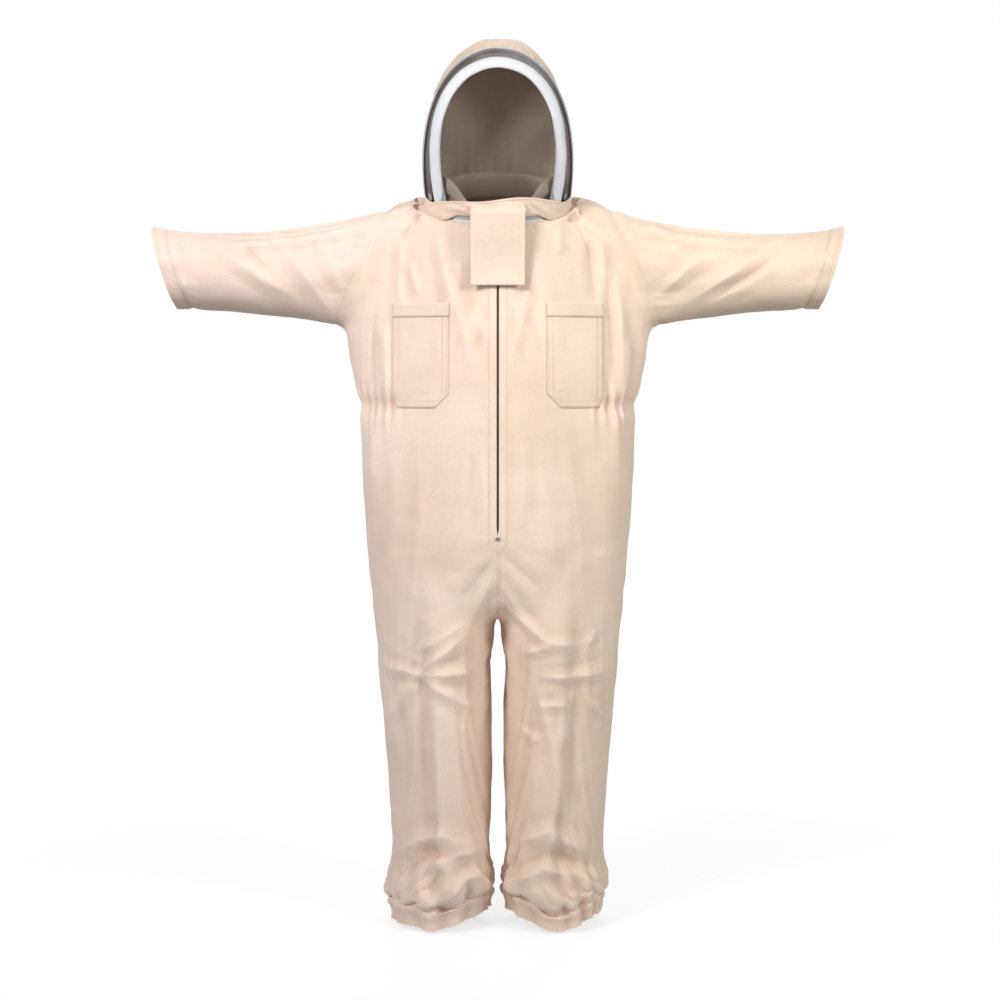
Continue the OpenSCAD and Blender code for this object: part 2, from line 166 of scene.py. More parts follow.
def points_of(obj):
    return read(obj.data.vertices, "co")


def normals_of(obj):
    return read(obj.data.vertices, "normal")


def move_points(obj, points):
    obj.data.vertices.foreach_set("co", np.asarray(points, float).ravel())
    obj.data.update()


def edit_mesh(obj, change):
    """Runs a function on the mesh as a bmesh."""
    bm = bmesh.new()
    bm.from_mesh(obj.data)
    change(bm)
    bm.to_mesh(obj.data)
    bm.free()


def bake(obj):
    """Replaces the mesh by what its modifiers make of it."""
    graph = bpy.context.evaluated_depsgraph_get()
    graph.update()
    made = bpy.data.meshes.new_from_object(obj.evaluated_get(graph))
    obj.modifiers.clear()
    obj.data = made
    return obj


def modify(obj, kind, **settings):
    modifier = obj.modifiers.new(kind.lower(), kind)
    for name, value in settings.items():
        setattr(modifier, name, value)
    return bake(obj)


def thicken(obj, thickness):
    """Gives a sheet its thickness, inward from the surface that it has."""
    return modify(obj, "SOLIDIFY", thickness=thickness, offset=-1, use_even_offset=False)


def unit(vectors):
    return vectors / np.linalg.norm(vectors, axis=-1, keepdims=True)


def bump(value, middle, width):
    """A smooth hill of height 1 at the middle."""
    return np.exp(-((value - middle) / width) ** 2)


def ramp(value, low, high):
    """A smooth rise from 0 at low to 1 at high."""
    t = np.clip((value - low) / (high - low), 0, 1)
    return t * t * (3 - 2 * t)


def waves(points, size, seed, count=7):
    """Smooth noise from about -1 to 1 at these points, made of plane waves about size long."""
    draw = np.random.RandomState(seed)
    total = np.zeros(len(points))
    for _ in range(count):
        way = draw.normal(size=3)
        way *= 2 * np.pi / (size * draw.uniform(0.7, 1.5) * np.linalg.norm(way))
        total += np.sin(points @ way + draw.uniform(0, 2 * np.pi))
    return total / count * 1.6


def grid_waves(grid, size, seed):
    return waves(grid.reshape(-1, 3), size, seed).reshape(grid.shape[:2])


# ---- The neck zip's tilted circle ----

RING_R = 0.134
RING_TILT = np.radians(17.5)
RING_OUT = np.array([0, np.cos(RING_TILT), np.sin(RING_TILT)])
RING_UP = np.array([0, -np.sin(RING_TILT), np.cos(RING_TILT)])


def ring_at(degrees, rise=0.0, grow=0.0):
    """Points on the neck circle, up by rise and out by grow. 0 is the wearer's left and 270 the front."""
    t = np.radians(np.asarray(degrees, float))[..., None]
    level = np.cos(t) * np.array([1.0, 0, 0]) + np.sin(t) * RING_OUT
    return (RING_R + np.asarray(grow)[..., None]) * level + np.asarray(rise)[..., None] * RING_UP


# ---- The coverall's shape before it drapes ----

TURN = np.radians(np.arange(0, 360, 5))
CROTCH_Z = -0.745
HEM_Z = FLOOR_Z
NECK_RISE = -0.0065
ZIP_TOP = np.array([0, -0.126, -0.062])
ZIP_LEAN = np.tan(np.radians(4.5))
ZIP_END_Z = -0.62
SIDE_Y = 0.002
HEM_TOP_Z = HEM_Z + 0.030
HEM_LAP = 0.004
LEG_X = 0.109
ARM_Z = -0.121
# The armhole seam and the cuff's end are slanting planes: a point of each, and its lean for a metre of height.
ARMHOLE_X, ARMHOLE_Z, ARMHOLE_SLANT = 0.2125, -0.017, 0.444
CUFF_X, CUFF_Z, CUFF_SLANT = 0.652, -0.044, 0.30
CUFF_HEM = 0.026
FLAP_Y = -0.148
FLAP_TOP, FLAP_LOW = -0.0285, -0.160
FLAP_HALF = 0.050
LAP_TUCK = 0.0010
SIDES = (("left", 1), ("right", -1))

# Height of the section's sides, half width, height of its front, depth and height of its back.
TORSO = [
    (0.010, 0.186, -0.058, 0.140, 0.026),
    (-0.006, 0.234, -0.095, 0.146, 0.008),
    (-0.045, 0.258, -0.125, 0.150, -0.040),
    (-0.120, 0.272, -0.165, 0.152, -0.110),
    (-0.170, 0.281, -0.195, 0.153, -0.165),
    (-0.215, 0.288, -0.222, 0.153, -0.210),
    (-0.290, 0.280, -0.290, 0.150, -0.290),
    (-0.370, 0.266, -0.370, 0.146, -0.370),
    (-0.480, 0.267, -0.480, 0.158, -0.480),
    (-0.560, 0.264, -0.560, 0.163, -0.560),
    (-0.630, 0.260, -0.630, 0.167, -0.630),
    (-0.690, 0.257, -0.690, 0.160, -0.690),
    (-0.745, 0.250, -0.745, 0.140, -0.745),
]
# Distance out, height of the top and of the bottom, half depth.
SLEEVE = [
    (0.200, -0.036, -0.200, 0.078), (0.250, -0.022, -0.212, 0.083), (0.300, -0.026, -0.214, 0.084),
    (0.360, -0.036, -0.204, 0.081), (0.470, -0.050, -0.198, 0.077), (0.530, -0.056, -0.196, 0.075),
    (0.600, -0.050, -0.197, 0.077), (0.655, -0.043, -0.199, 0.078), (0.690, -0.040, -0.200, 0.078),
]
# Height, distance of the middle from the centre line, half width, half depth.
LEG = [
    (-0.640, 0.130, 0.122, 0.140), (-0.700, 0.130, 0.124, 0.140), (-0.745, 0.128, 0.124, 0.137),
    (-0.850, 0.123, 0.118, 0.130), (-0.930, 0.119, 0.114, 0.126), (-1.040, 0.115, 0.109, 0.122),
    (-1.150, 0.112, 0.105, 0.119), (-1.230, 0.110, 0.104, 0.120), (-1.290, 0.110, 0.106, 0.121),
    (-1.335, 0.108, 0.098, 0.114), (-1.368, 0.108, 0.092, 0.107), (-1.400, 0.108, 0.092, 0.107),
]
LEG_SPLAY = 0.022


def oval(centre, half, front, back):
    """A section's outline: half wide, and reaching front and back by these two vectors."""
    c, s = np.cos(TURN)[:, None], np.sin(TURN)[:, None]
    along = np.where(s < 0, -s * np.asarray(front, float), s * np.asarray(back, float))
    return np.asarray(centre, float) + c * np.array([half, 0, 0]) + along


def front_y(z):
    """How far forward the leaning line of the front zip is at this height."""
    return ZIP_TOP[1] + (z - ZIP_TOP[2]) * ZIP_LEAN


def torso_loops():
    """The body's sections, from the well inside the neck down to the crotch."""
    loops = [ring_at(np.degrees(TURN), -0.080, -0.050), ring_at(np.degrees(TURN), NECK_RISE, 0.0)]
    for z, half, front_z, back_y, back_z in TORSO:
        front = (0, front_y(front_z) - SIDE_Y, front_z - z)
        back = (0, back_y - SIDE_Y, back_z - z)
        if front_z < CROTCH_Z + 0.06:
            front = (0, -back_y, front_z - z)
        loops.append(oval((0, SIDE_Y, z), half, front, back))
    return loops


def sleeve_loops(side):
    loops = []
    for x, top, bottom, depth in SLEEVE:
        middle, up = (top + bottom) / 2, (top - bottom) / 2
        ring = np.stack([np.full(len(TURN), side * x), SIDE_Y + depth * np.cos(TURN),
                         middle + up * np.sin(TURN)], axis=1)
        loops.append(ring if side > 0 else ring[::-1])
    return loops


def splay(z):
    """How far the legs stand further out while the body is joined, so that they don't grow together."""
    return LEG_SPLAY * ramp(-z, -CROTCH_Z - 0.01, -CROTCH_Z + 0.09)


def leg_loops(side):
    return [oval((side * (x + splay(z)), 0, z), half, (0, -depth, 0), (0, depth, 0))
            for z, x, half, depth in LEG]


def closed_loft(loops, points, faces):
    """Adds a closed tube through these loops, with a fan over each end."""
    start, cols = len(points), len(loops[0])
    points += [p for loop in loops for p in loop] + [loops[0].mean(axis=0), loops[-1].mean(axis=0)]
    faces += grid_faces(len(loops), cols, closed=True, start=start)
    last, tip = start + (len(loops) - 1) * cols, len(points) - 2
    for j in range(cols):
        faces.append((start + (j + 1) % cols, start + j, tip))
        faces.append((last + j, last + (j + 1) % cols, tip + 1))


def cut(bm, place, normal, **settings):
    """Adds the edges where a plane passes through the mesh."""
    everything = bm.verts[:] + bm.edges[:] + bm.faces[:]
    bmesh.ops.bisect_plane(bm, geom=everything, plane_co=place, plane_no=normal, **settings)


def clear_beyond(obj, place, normal, region=None):
    """Cuts the mesh along a plane and deletes what lies past it, in the region where this says so."""
    def past(face):
        middle = face.calc_center_median()
        return (middle - Vector(place)).dot(Vector(normal)) > 0 and (region is None or region(middle))

    def change(bm):
        cut(bm, place, normal)
        bmesh.ops.delete(bm, geom=[f for f in bm.faces if past(f)], context="FACES")
    edit_mesh(obj, change)


def cuff_plane(side):
    """A point of the cuff's slanting end and the direction out of it."""
    return (side * CUFF_X, 0, CUFF_Z), (side * 1.0, 0, -CUFF_SLANT)


WELL_DEPTH = 0.11


def open_neck(obj):
    """Deletes the well inside the neck circle and sets its edge on the circle."""
    def polar(p):
        p = np.array(p)
        level = p - (p @ RING_UP) * RING_UP
        return np.linalg.norm(level), p @ RING_UP, level

    def inside(face):
        radius, rise, _ = polar(face.calc_center_median())
        return radius < RING_R - 0.002 - 0.35 * max(0, -rise - 0.02) and rise > -WELL_DEPTH

    def change(bm):
        bmesh.ops.delete(bm, geom=[f for f in bm.faces if inside(f)], context="FACES")
        for v in bm.verts:
            radius, rise, level = polar(v.co)
            if v.is_boundary and rise > -WELL_DEPTH and radius < RING_R + 0.03:
                v.co = Vector(level / radius * (RING_R + 0.0030) + NECK_RISE * RING_UP)
    edit_mesh(obj, change)


VOXEL = 0.0085


def smooth_shoulders(obj):
    """Smooths the top of the cloth where the sleeves leave the body."""
    p = points_of(obj)
    x = np.abs(p[:, 0])
    share = ramp(x, 0.145, 0.185) * ramp(-x, -0.34, -0.27) * ramp(p[:, 2], -0.10, -0.04)
    soft = neighbours_mean(obj, p, 60)
    move_points(obj, p + share[:, None] * (soft - p))


def soften_crotch(obj, p):
    """Points with the crease where the legs leave the body smoothed out."""
    near = bump(p[:, 0], 0, 0.085) * bump(p[:, 2], -0.735, 0.060)
    return p + near[:, None] * (neighbours_mean(obj, p, 80) - p)


def coverall_base():
    """The cloth before it drapes: body, arms and legs joined into one skin, open at neck, cuffs and hems."""
    points, faces = [], []
    closed_loft(torso_loops(), points, faces)
    for side in (1, -1):
        closed_loft(sleeve_loops(side), points, faces)
        closed_loft(leg_loops(side), points, faces)
    obj = new_object("coverall_cloth", points, faces)
    edit_mesh(obj, lambda bm: bmesh.ops.recalc_face_normals(bm, faces=bm.faces))
    modify(obj, "REMESH", mode="VOXEL", voxel_size=VOXEL)
    modify(obj, "SMOOTH", factor=0.5, iterations=10)
    smooth_shoulders(obj)
    p = soften_crotch(obj, points_of(obj))
    p[:, 0] -= np.sign(p[:, 0]) * np.minimum(splay(p[:, 2]), np.abs(p[:, 0]))
    shoulder = bump(np.abs(p[:, 0]), 0.185, 0.060) * ramp(p[:, 2], -0.06, 0.0)
    shoulder *= ramp(-np.abs(p[:, 1]), -0.16, -0.02)
    p[:, 2] += 0.010 * shoulder
    move_points(obj, p)
    open_neck(obj)
    for side in (1, -1):
        clear_beyond(obj, *cuff_plane(side), lambda c, s=side: s * c[0] > 0.5)
    clear_beyond(obj, (0, 0, HEM_Z + 0.002), (0, 0, -1))
    return obj


# ---- Draping ----

def radius_from_neck(p):
    return np.linalg.norm(p - np.outer(p @ RING_UP, RING_UP), axis=1)


def held_by_hand(p):
    """Where the cloth can't drape, from 0, free, to 1: the neck, the zip, the cuffs and the hems."""
    neck = ramp(-radius_from_neck(p), -0.165, -0.142) * ramp(p @ RING_UP, -0.055, -0.025)
    zipped = ramp(-np.abs(p[:, 0]), -0.022, -0.012) * (p[:, 1] < 0)
    zipped = zipped * ramp(p[:, 2], ZIP_END_Z - 0.01, ZIP_END_Z)
    reach = np.abs(p[:, 0]) + CUFF_SLANT * (CUFF_Z - p[:, 2])
    cuff = ramp(reach, CUFF_X - 0.03, CUFF_X - 0.008)
    hem = ramp(-p[:, 2], -HEM_Z - 0.045, -HEM_Z - 0.02)
    return np.clip(np.maximum.reduce([neck, zipped, cuff, hem]), 0, 1)


WEARER_INSET = 0.020
LONGEST_SAG = 0.022
TRUNK_LOW = -0.82


def drape(obj, frames):
    """Lets the cloth sag and buckle over a body shape that lies inside it, and then calms the trunk."""
    rest = points_of(obj)
    inside = obj.copy()
    inside.data = obj.data.copy()
    inside.name = "wearer"
    scene.collection.objects.link(inside)
    move_points(inside, rest - WEARER_INSET * normals_of(obj))
    inside.modifiers.new("collision", "COLLISION")
    inside.collision.thickness_outer = 0.003
    inside.collision.cloth_friction = 12
    pins = obj.vertex_groups.new(name="held")
    held = held_by_hand(rest)
    belly = ramp(-np.abs(rest[:, 0]), -0.17, -0.08) * (rest[:, 1] < 0) * ramp(-rest[:, 2], 0.24, 0.33)
    yoke = ramp(rest[:, 2], -0.13, -0.07)
    body = past_armhole(rest) < 0
    hold = 0.012 + (0.05 + 0.25 * belly + 0.35 * yoke) * body * ramp(rest[:, 2], TRUNK_LOW, -0.70)
    loose = obj.vertex_groups.new(name="loose")
    roomy = spare_cloth(rest)
    for i in range(len(rest)):
        pins.add([i], float(max(held[i], hold[i])), "REPLACE")
        loose.add([i], float(roomy[i]), "REPLACE")
    cloth = obj.modifiers.new("cloth", "CLOTH")
    s = cloth.settings
    s.quality = 5
    s.mass = 0.3
    s.tension_stiffness = 18
    s.compression_stiffness = 14
    s.shear_stiffness = 8
    s.bending_stiffness = 1.2
    s.tension_damping = s.compression_damping = 8
    s.air_damping = 3
    s.vertex_group_mass = "held"
    s.pin_stiffness = 1
    s.shrink_min = 0.0
    s.shrink_max = -0.075
    s.vertex_group_shrink = "loose"
    cloth.collision_settings.collision_quality = 2
    cloth.collision_settings.distance_min = 0.003
    cloth.point_cache.frame_start = 1
    cloth.point_cache.frame_end = frames
    for f in range(1, frames + 1):
        scene.frame_set(f)
    bake(obj)
    scene.frame_set(1)
    bpy.data.objects.remove(inside)
    moved = points_of(obj) - rest
    trunk = body * ramp(rest[:, 2], TRUNK_LOW, -0.74) * ramp(-rest[:, 2], 0.24, 0.32)
    moved += (0.9 * trunk * (1 - held))[:, None] * (neighbours_mean(obj, moved, 60) - moved)
    length = np.linalg.norm(moved, axis=1, keepdims=True)
    move_points(obj, rest + moved * np.minimum(1, LONGEST_SAG / np.maximum(length, 1e-9)))


def spare_cloth(p):
    """Where the cut is roomier than the body, from 0 to 1: mostly at the knees, hems and sleeves."""
    knee = bump(p[:, 2], -0.93, 0.11)
    hem = bump(p[:, 2], -1.27, 0.09)
    sleeve = 0.75 * ramp(np.abs(p[:, 0]), 0.29, 0.36)
    waist = bump(p[:, 2], -0.38, 0.07) * ramp(np.abs(p[:, 0]), 0.12, 0.22)
    seat = bump(p[:, 2], -0.74, 0.08) * 0.6
    chest = 0.25 * ramp(p[:, 2], -0.30, -0.22) * ramp(-p[:, 2], 0.09, 0.14)
    return np.clip(np.maximum.reduce([knee, hem, sleeve, waist, seat, chest]), 0, 1)


# ---- Folds pressed into the draped cloth ----

# Each fold: its height in millimetres, its width in millimetres, and its line of (x, z) points.
FRONT_FOLDS = [
    (5, 9, [(-0.225, -0.035), (-0.245, -0.10), (-0.262, -0.20)]),
    (4, 8, [(-0.185, -0.065), (-0.182, -0.15), (-0.178, -0.20)]),
    (4, 8, [(-0.165, -0.11), (-0.140, -0.185)]),
    (3, 7, [(-0.070, -0.12), (-0.052, -0.16)]),
    (5, 10, [(-0.112, -0.055), (-0.080, -0.18), (-0.046, -0.33)]),
    (3, 9, [(-0.046, -0.22), (-0.012, -0.28)]),
    (3, 8, [(0.060, -0.14), (0.020, -0.31)]),
    (-5, 9, [(-0.232, -0.22), (-0.230, -0.36)]),
    (4, 8, [(-0.204, -0.24), (-0.200, -0.37)]),
    (3, 7, [(0.112, -0.05), (0.116, -0.10)]),
    (-4, 8, [(0.172, -0.06), (0.182, -0.19)]),
    (4, 8, [(0.196, -0.07), (0.200, -0.16)]),
    (6, 10, [(0.224, -0.13), (0.228, -0.32), (0.224, -0.52)]),
    (-5, 8, [(0.205, -0.15), (0.212, -0.34)]),
    (4, 8, [(0.246, -0.24), (0.240, -0.37)]),
    (4, 9, [(-0.228, -0.41), (-0.234, -0.50), (-0.236, -0.60)]),
    (4, 9, [(-0.028, -0.45), (-0.026, -0.61)]),
    (4, 9, [(0.041, -0.45), (0.038, -0.61)]),
    (3, 12, [(-0.150, -0.42), (-0.140, -0.58), (-0.150, -0.72)]),
    (3, 12, [(0.130, -0.42), (0.150, -0.60), (0.160, -0.74)]),
    (-3, 9, [(-0.010, -0.66), (-0.070, -0.74)]),
    (-3, 9, [(0.012, -0.65), (0.085, -0.72)]),
    (4, 8, [(-0.012, -0.70), (-0.060, -0.80)]),
    (4, 8, [(0.016, -0.72), (0.060, -0.79)]),
    (6, 8, [(-0.150, -0.880), (-0.057, -0.800)]),
    (6, 8, [(-0.150, -0.880), (-0.050, -0.872)]),
    (5, 8, [(-0.150, -0.880), (-0.090, -0.915), (-0.042, -0.945)]),
    (5, 8, [(-0.150, -0.880), (-0.130, -0.785)]),
    (5, 8, [(-0.150, -0.880), (-0.222, -0.868)]),
    (5, 9, [(-0.150, -0.880), (-0.185, -0.93), (-0.214, -0.970)]),
    (4, 8, [(-0.150, -0.880), (-0.154, -0.975)]),
    (4, 7, [(-0.143, -0.835), (-0.062, -0.785)]),
    (-4, 8, [(-0.200, -0.900), (-0.175, -1.00), (-0.165, -1.10)]),
    (7, 11, [(-0.195, -1.225), (-0.150, -1.190), (-0.103, -1.175), (-0.050, -1.198)]),
    (7, 11, [(-0.160, -1.290), (-0.127, -1.232), (-0.070, -1.212), (-0.028, -1.205)]),
    (-5, 9, [(-0.180, -1.262), (-0.120, -1.212), (-0.060, -1.222)]),
    (5, 9, [(-0.100, -1.300), (-0.060, -1.262), (-0.020, -1.255)]),
    (5, 8, [(0.078, -0.875), (0.140, -0.880), (0.208, -0.878)]),
    (5, 8, [(0.012, -0.745), (0.090, -0.810), (0.148, -0.822)]),
    (4, 7, [(0.050, -0.835), (0.098, -0.818)]),
    (5, 8, [(0.134, -0.878), (0.127, -0.950), (0.118, -1.015)]),
    (5, 9, [(0.066, -0.885), (0.095, -0.99), (0.121, -1.105), (0.152, -1.220)]),
    (4, 7, [(0.167, -0.925), (0.203, -0.970)]),
    (4, 7, [(0.172, -0.825), (0.188, -0.797)]),
    (4, 7, [(0.077, -0.932), (0.121, -0.930)]),
    (4, 7, [(0.044, -0.980), (0.072, -1.002)]),
    (6, 10, [(0.040, -1.190), (0.100, -1.170), (0.180, -1.215)]),
    (6, 10, [(0.030, -1.275), (0.090, -1.235), (0.170, -1.262)]),
    (-4, 9, [(0.040, -1.232), (0.110, -1.208), (0.178, -1.244)]),
    (6, 10, [(-0.540, -0.070), (-0.450, -0.130), (-0.369, -0.180)]),
    (6, 10, [(-0.420, -0.055), (-0.365, -0.130), (-0.312, -0.205)]),
    (4, 8, [(-0.615, -0.070), (-0.570, -0.180)]),
    (5, 9, [(-0.345, -0.050), (-0.305, -0.120), (-0.290, -0.175)]),
    (-4, 8, [(-0.480, -0.065), (-0.400, -0.150)]),
    (6, 10, [(0.530, -0.062), (0.448, -0.122), (0.356, -0.182)]),
    (5, 9, [(0.264, -0.035), (0.310, -0.070), (0.356, -0.112)]),
    (5, 9, [(0.302, -0.165), (0.350, -0.120), (0.410, -0.080)]),
    (4, 8, [(0.622, -0.065), (0.578, -0.182)]),
    (-4, 8, [(0.500, -0.110), (0.420, -0.172)]),
    (4, 8, [(0.470, -0.150), (0.400, -0.188)]),
]
BACK_FOLDS = [
    (5, 11, [(-0.170, -0.060), (-0.150, -0.170), (-0.120, -0.300)]),
    (5, 11, [(0.175, -0.060), (0.150, -0.180), (0.125, -0.310)]),
    (4, 10, [(-0.060, -0.120), (-0.050, -0.230), (-0.060, -0.340)]),
    (4, 10, [(0.050, -0.130), (0.060, -0.240), (0.045, -0.340)]),
    (-4, 9, [(-0.215, -0.130), (-0.205, -0.250), (-0.190, -0.350)]),
    (-4, 9, [(0.215, -0.130), (0.200, -0.240), (0.192, -0.350)]),
    (5, 10, [(-0.180, -0.430), (-0.060, -0.455), (0.080, -0.440), (0.190, -0.420)]),
    (-4, 9, [(-0.150, -0.475), (0.010, -0.500), (0.160, -0.470)]),
    (4, 12, [(-0.120, -0.520), (-0.130, -0.640)]),
    (4, 12, [(0.120, -0.520), (0.135, -0.640)]),
    (6, 9, [(-0.015, -0.730), (-0.080, -0.770), (-0.190, -0.780)]),
    (6, 9, [(0.015, -0.730), (0.085, -0.772), (0.195, -0.778)]),
    (4, 9, [(-0.020, -0.690), (-0.100, -0.730)]),
    (4, 9, [(0.020, -0.690), (0.105, -0.728)]),
    (7, 8, [(-0.200, -0.930), (-0.120, -0.950), (-0.040, -0.925)]),
    (6, 8, [(-0.195, -0.975), (-0.120, -0.960), (-0.045, -0.985)]),
    (5, 8, [(-0.180, -0.890), (-0.110, -0.915), (-0.050, -0.885)]),
    (7, 8, [(0.200, -0.925), (0.120, -0.948), (0.040, -0.930)]),
    (6, 8, [(0.195, -0.980), (0.115, -0.965), (0.045, -0.975)]),
    (5, 8, [(0.180, -0.885), (0.120, -0.912), (0.050, -0.890)]),
    (6, 10, [(-0.190, -1.200), (-0.110, -1.225), (-0.040, -1.195)]),
    (6, 10, [(-0.180, -1.275), (-0.110, -1.250), (-0.035, -1.270)]),
    (6, 10, [(0.190, -1.205), (0.110, -1.228), (0.040, -1.200)]),
    (6, 10, [(0.180, -1.270), (0.110, -1.252), (0.035, -1.275)]),
    (5, 10, [(-0.540, -0.080), (-0.440, -0.140), (-0.350, -0.180)]),
    (5, 10, [(0.540, -0.080), (0.440, -0.140), (0.350, -0.180)]),
    (4, 9, [(-0.400, -0.060), (-0.330, -0.150)]),
    (4, 9, [(0.400, -0.060), (0.330, -0.150)]),
]


def distance_to_line(flat, line):
    """Distance from each (x, z) to a line of points, and the share of the line at its nearest point."""
    line = np.asarray(line, float)
    best = np.full(len(flat), 9.0)
    share = np.zeros(len(flat))
    for k in range(len(line) - 1):
        a, way = line[k], line[k + 1] - line[k]
        t = np.clip((flat - a) @ way / (way @ way), 0, 1)
        away = np.linalg.norm(flat - a - t[:, None] * way, axis=1)
        closer = away < best
        best[closer] = away[closer]
        share[closer] = (k + t[closer]) / (len(line) - 1)
    return best, share


FOLD_DEPTH = 0.88
WAIST_Z = -0.378


def press_folds(p, n):
    """Outward push of every fold at these points: a crest with a shallow trough along each side."""
    push = np.zeros(len(p))
    flat = p[:, [0, 2]] + 0.007 * np.stack([waves(p, 0.22, 3), waves(p, 0.22, 4)], axis=1)
    for folds, outward in ((FRONT_FOLDS, -n[:, 1]), (BACK_FOLDS, n[:, 1])):
        facing = ramp(outward, 0.05, 0.45)
        for height, width, line in folds:
            away, share = distance_to_line(flat, line)
            taper = np.minimum(1, 0.25 + 3.2 * np.minimum(share, 1 - share)) * facing
            width = width / 1000 * (0.9 + 0.5 * share)
            crest = np.exp(-(away / width) ** 1.4) - 0.35 * bump(away, 2.2 * width, 1.1 * width)
            push += FOLD_DEPTH * height / 1000 * crest * taper
    return push


def gathers(turn, lobes, seed):
    """An uneven row of small pleats round a drawn-in edge, from -1 to 1."""
    draw = np.random.RandomState(seed)
    total = np.zeros(len(turn))
    for share in (1.0, 0.62, 0.41, 0.27):
        total += share * np.sin(round(lobes * draw.uniform(0.6, 1.3)) * turn + draw.uniform(0, 6.28))
    return total / 1.5


def past_armhole(p):
    """Distance of each point past the armhole seam, towards the hand."""
    across = np.abs(p[:, 0]) - ARMHOLE_X + ARMHOLE_SLANT * (p[:, 2] - ARMHOLE_Z)
    return across / np.hypot(1, ARMHOLE_SLANT)


def past_cuff_line(p):
    """Distance of each point past the line where the cuff is turned, towards the hand."""
    across = np.abs(p[:, 0]) - CUFF_X + CUFF_SLANT * (CUFF_Z - p[:, 2])
    return across / np.hypot(1, CUFF_SLANT) + CUFF_HEM


def gather_cloth(p):
    """Outward push where elastic and ease gather the cloth: hems, waist, sleeve heads and cuffs."""
    head = past_armhole(p)
    body = head < 0
    legs = body & (p[:, 2] < -0.8)
    on_left = p[:, 0] > 0
    turn = np.arctan2(p[:, 1], p[:, 0] - np.where(on_left, LEG_X, -LEG_X)) + np.where(on_left, 0.0, 0.7)
    low = ramp(-p[:, 2], 1.17, 1.335)
    push = np.where(legs, 0.0042 * low * gathers(turn + 0.4 * waves(p, 0.3, 9), 17, 11), 0)
    roll = 0.0085 * bump(p[:, 2], -1.300, 0.042) - 0.0065 * bump(p[:, 2], HEM_TOP_Z - 0.010, 0.018)
    push += np.where(legs, roll, 0)
    side = ramp(np.abs(p[:, 0]), 0.150, 0.215)
    back = (p[:, 1] > 0) * ramp(-np.abs(p[:, 0]), -0.24, -0.18)
    tight = np.clip(side + back, 0, 1) * body
    around = np.arctan2(p[:, 1] * 1.7, p[:, 0])
    pleats = gathers(around * 1.6, 52, 12)
    push += tight * (0.0034 * bump(p[:, 2], WAIST_Z, 0.036) * pleats - 0.0060 * bump(p[:, 2], WAIST_Z, 0.016))
    spin = np.arctan2(p[:, 2] - ARM_Z, p[:, 1])
    high = ramp(p[:, 2], -0.13, -0.06)
    puff = high * np.exp(-np.clip(head, 0, 1) / 0.030) * ramp(head, 0.0, 0.012)
    push += puff * (0.0019 * gathers(spin + 0.5 * waves(p, 0.2, 8), 19, 13) + 0.0030)
    push += 0.0015 * ramp(past_cuff_line(p), -0.05, 0.0) * gathers(spin, 9, 14)
    return push


def seam_grooves(p):
    """Inward push in a narrow line along every seam."""
    body = past_armhole(p) < -0.004
    x, y, z = p.T
    on_body = ((body, z - HEM_TOP_Z), (body, y - SIDE_Y), (body & (z < ZIP_END_Z), x), (body & (y > 0), x))
    lines = [np.abs(past_armhole(p)), np.abs(past_cuff_line(p))]
    lines += [np.where(where, np.abs(away), 1) for where, away in on_body]
    return -0.0013 * bump(np.minimum.reduce(lines), 0, 0.0046)


def neighbours_mean(obj, values, rounds):
    """Values smoothed over the mesh's edges."""
    edges = np.empty(len(obj.data.edges) * 2, dtype=np.int64)
    obj.data.edges.foreach_get("vertices", edges)
    a, b = edges.reshape(-1, 2).T
    count = np.bincount(a, minlength=len(values)) + np.bincount(b, minlength=len(values))
    for _ in range(rounds):
        total = np.zeros_like(values)
        for c in range(values.shape[1]):
            total[:, c] = np.bincount(a, values[b, c], len(values))
            total[:, c] += np.bincount(b, values[a, c], len(values))
        values = 0.5 * values + 0.5 * total / np.maximum(count, 1)[:, None]
    return values


def mark_relief(obj):
    """Stores how far each point stands above its surroundings, for the painted shade in the cloth's creases
    and the painted highlight on its ridges.
    """
    p, n = points_of(obj), normals_of(obj)
    relief = ((p - neighbours_mean(obj, p, 14)) * n).sum(axis=1)
    layer = obj.data.attributes.new("relief", "FLOAT", "POINT")
    layer.data.foreach_set("value", np.clip(0.5 + relief / 0.0040, 0, 1).astype(np.float32))


def shape_cloth(obj):
    """Adds folds, gathers and seams to the draped cloth."""
    p, n = points_of(obj), normals_of(obj)
    p = soften_crotch(obj, p)
    free = 1 - held_by_hand(p)
    small = 0.0010 * waves(p, 0.10, 21) + 0.0004 * waves(p, 0.045, 22)
    push = (press_folds(p, n) + small) * free + gather_cloth(p) + seam_grooves(p)
    p = p + n * push[:, None]
    move_points(obj, p)


def rise_hem(piece):
    """Lets the hems ride up over the shoes: at the inner side, and on the left leg at the outer side too."""
    p = points_of(piece)
    outward = (np.abs(p[:, 0]) - LEG_X) / 0.09
    inner, outer = ramp(-outward, -0.1, 1.0), ramp(outward, 0.1, 1.0)
    rise = 0.024 * inner + np.where(p[:, 0] > 0, 0.022, 0.004) * outer
    rise += 0.0025 * waves(p * (1, 1, 0), 0.09, 24)
    p[:, 2] += (rise + 0.0025) * ramp(-p[:, 2], 1.20, -HEM_Z)
    move_points(piece, p)
    return piece


ZIP_GAP = 0.0023
ZIP_GAP_UNDER_FLAP = 0.0046
ZIP_REACH = 0.018


def part_at_zip(p):
    """Draws the two front edges apart over the zip."""
    near = (np.abs(p[:, 0]) < ZIP_REACH) & (p[:, 1] < 0)
    gap = ZIP_GAP + (ZIP_GAP_UNDER_FLAP - ZIP_GAP) * ramp(p[:, 2], FLAP_LOW - 0.005, FLAP_LOW + 0.02)
    gap *= ramp(p[:, 2], ZIP_END_Z, ZIP_END_Z + 0.02)
    opened = gap + np.abs(p[:, 0]) * (ZIP_REACH - gap) / ZIP_REACH
    p[near, 0] = (np.sign(p[:, 0].mean()) * opened)[near]
    return p


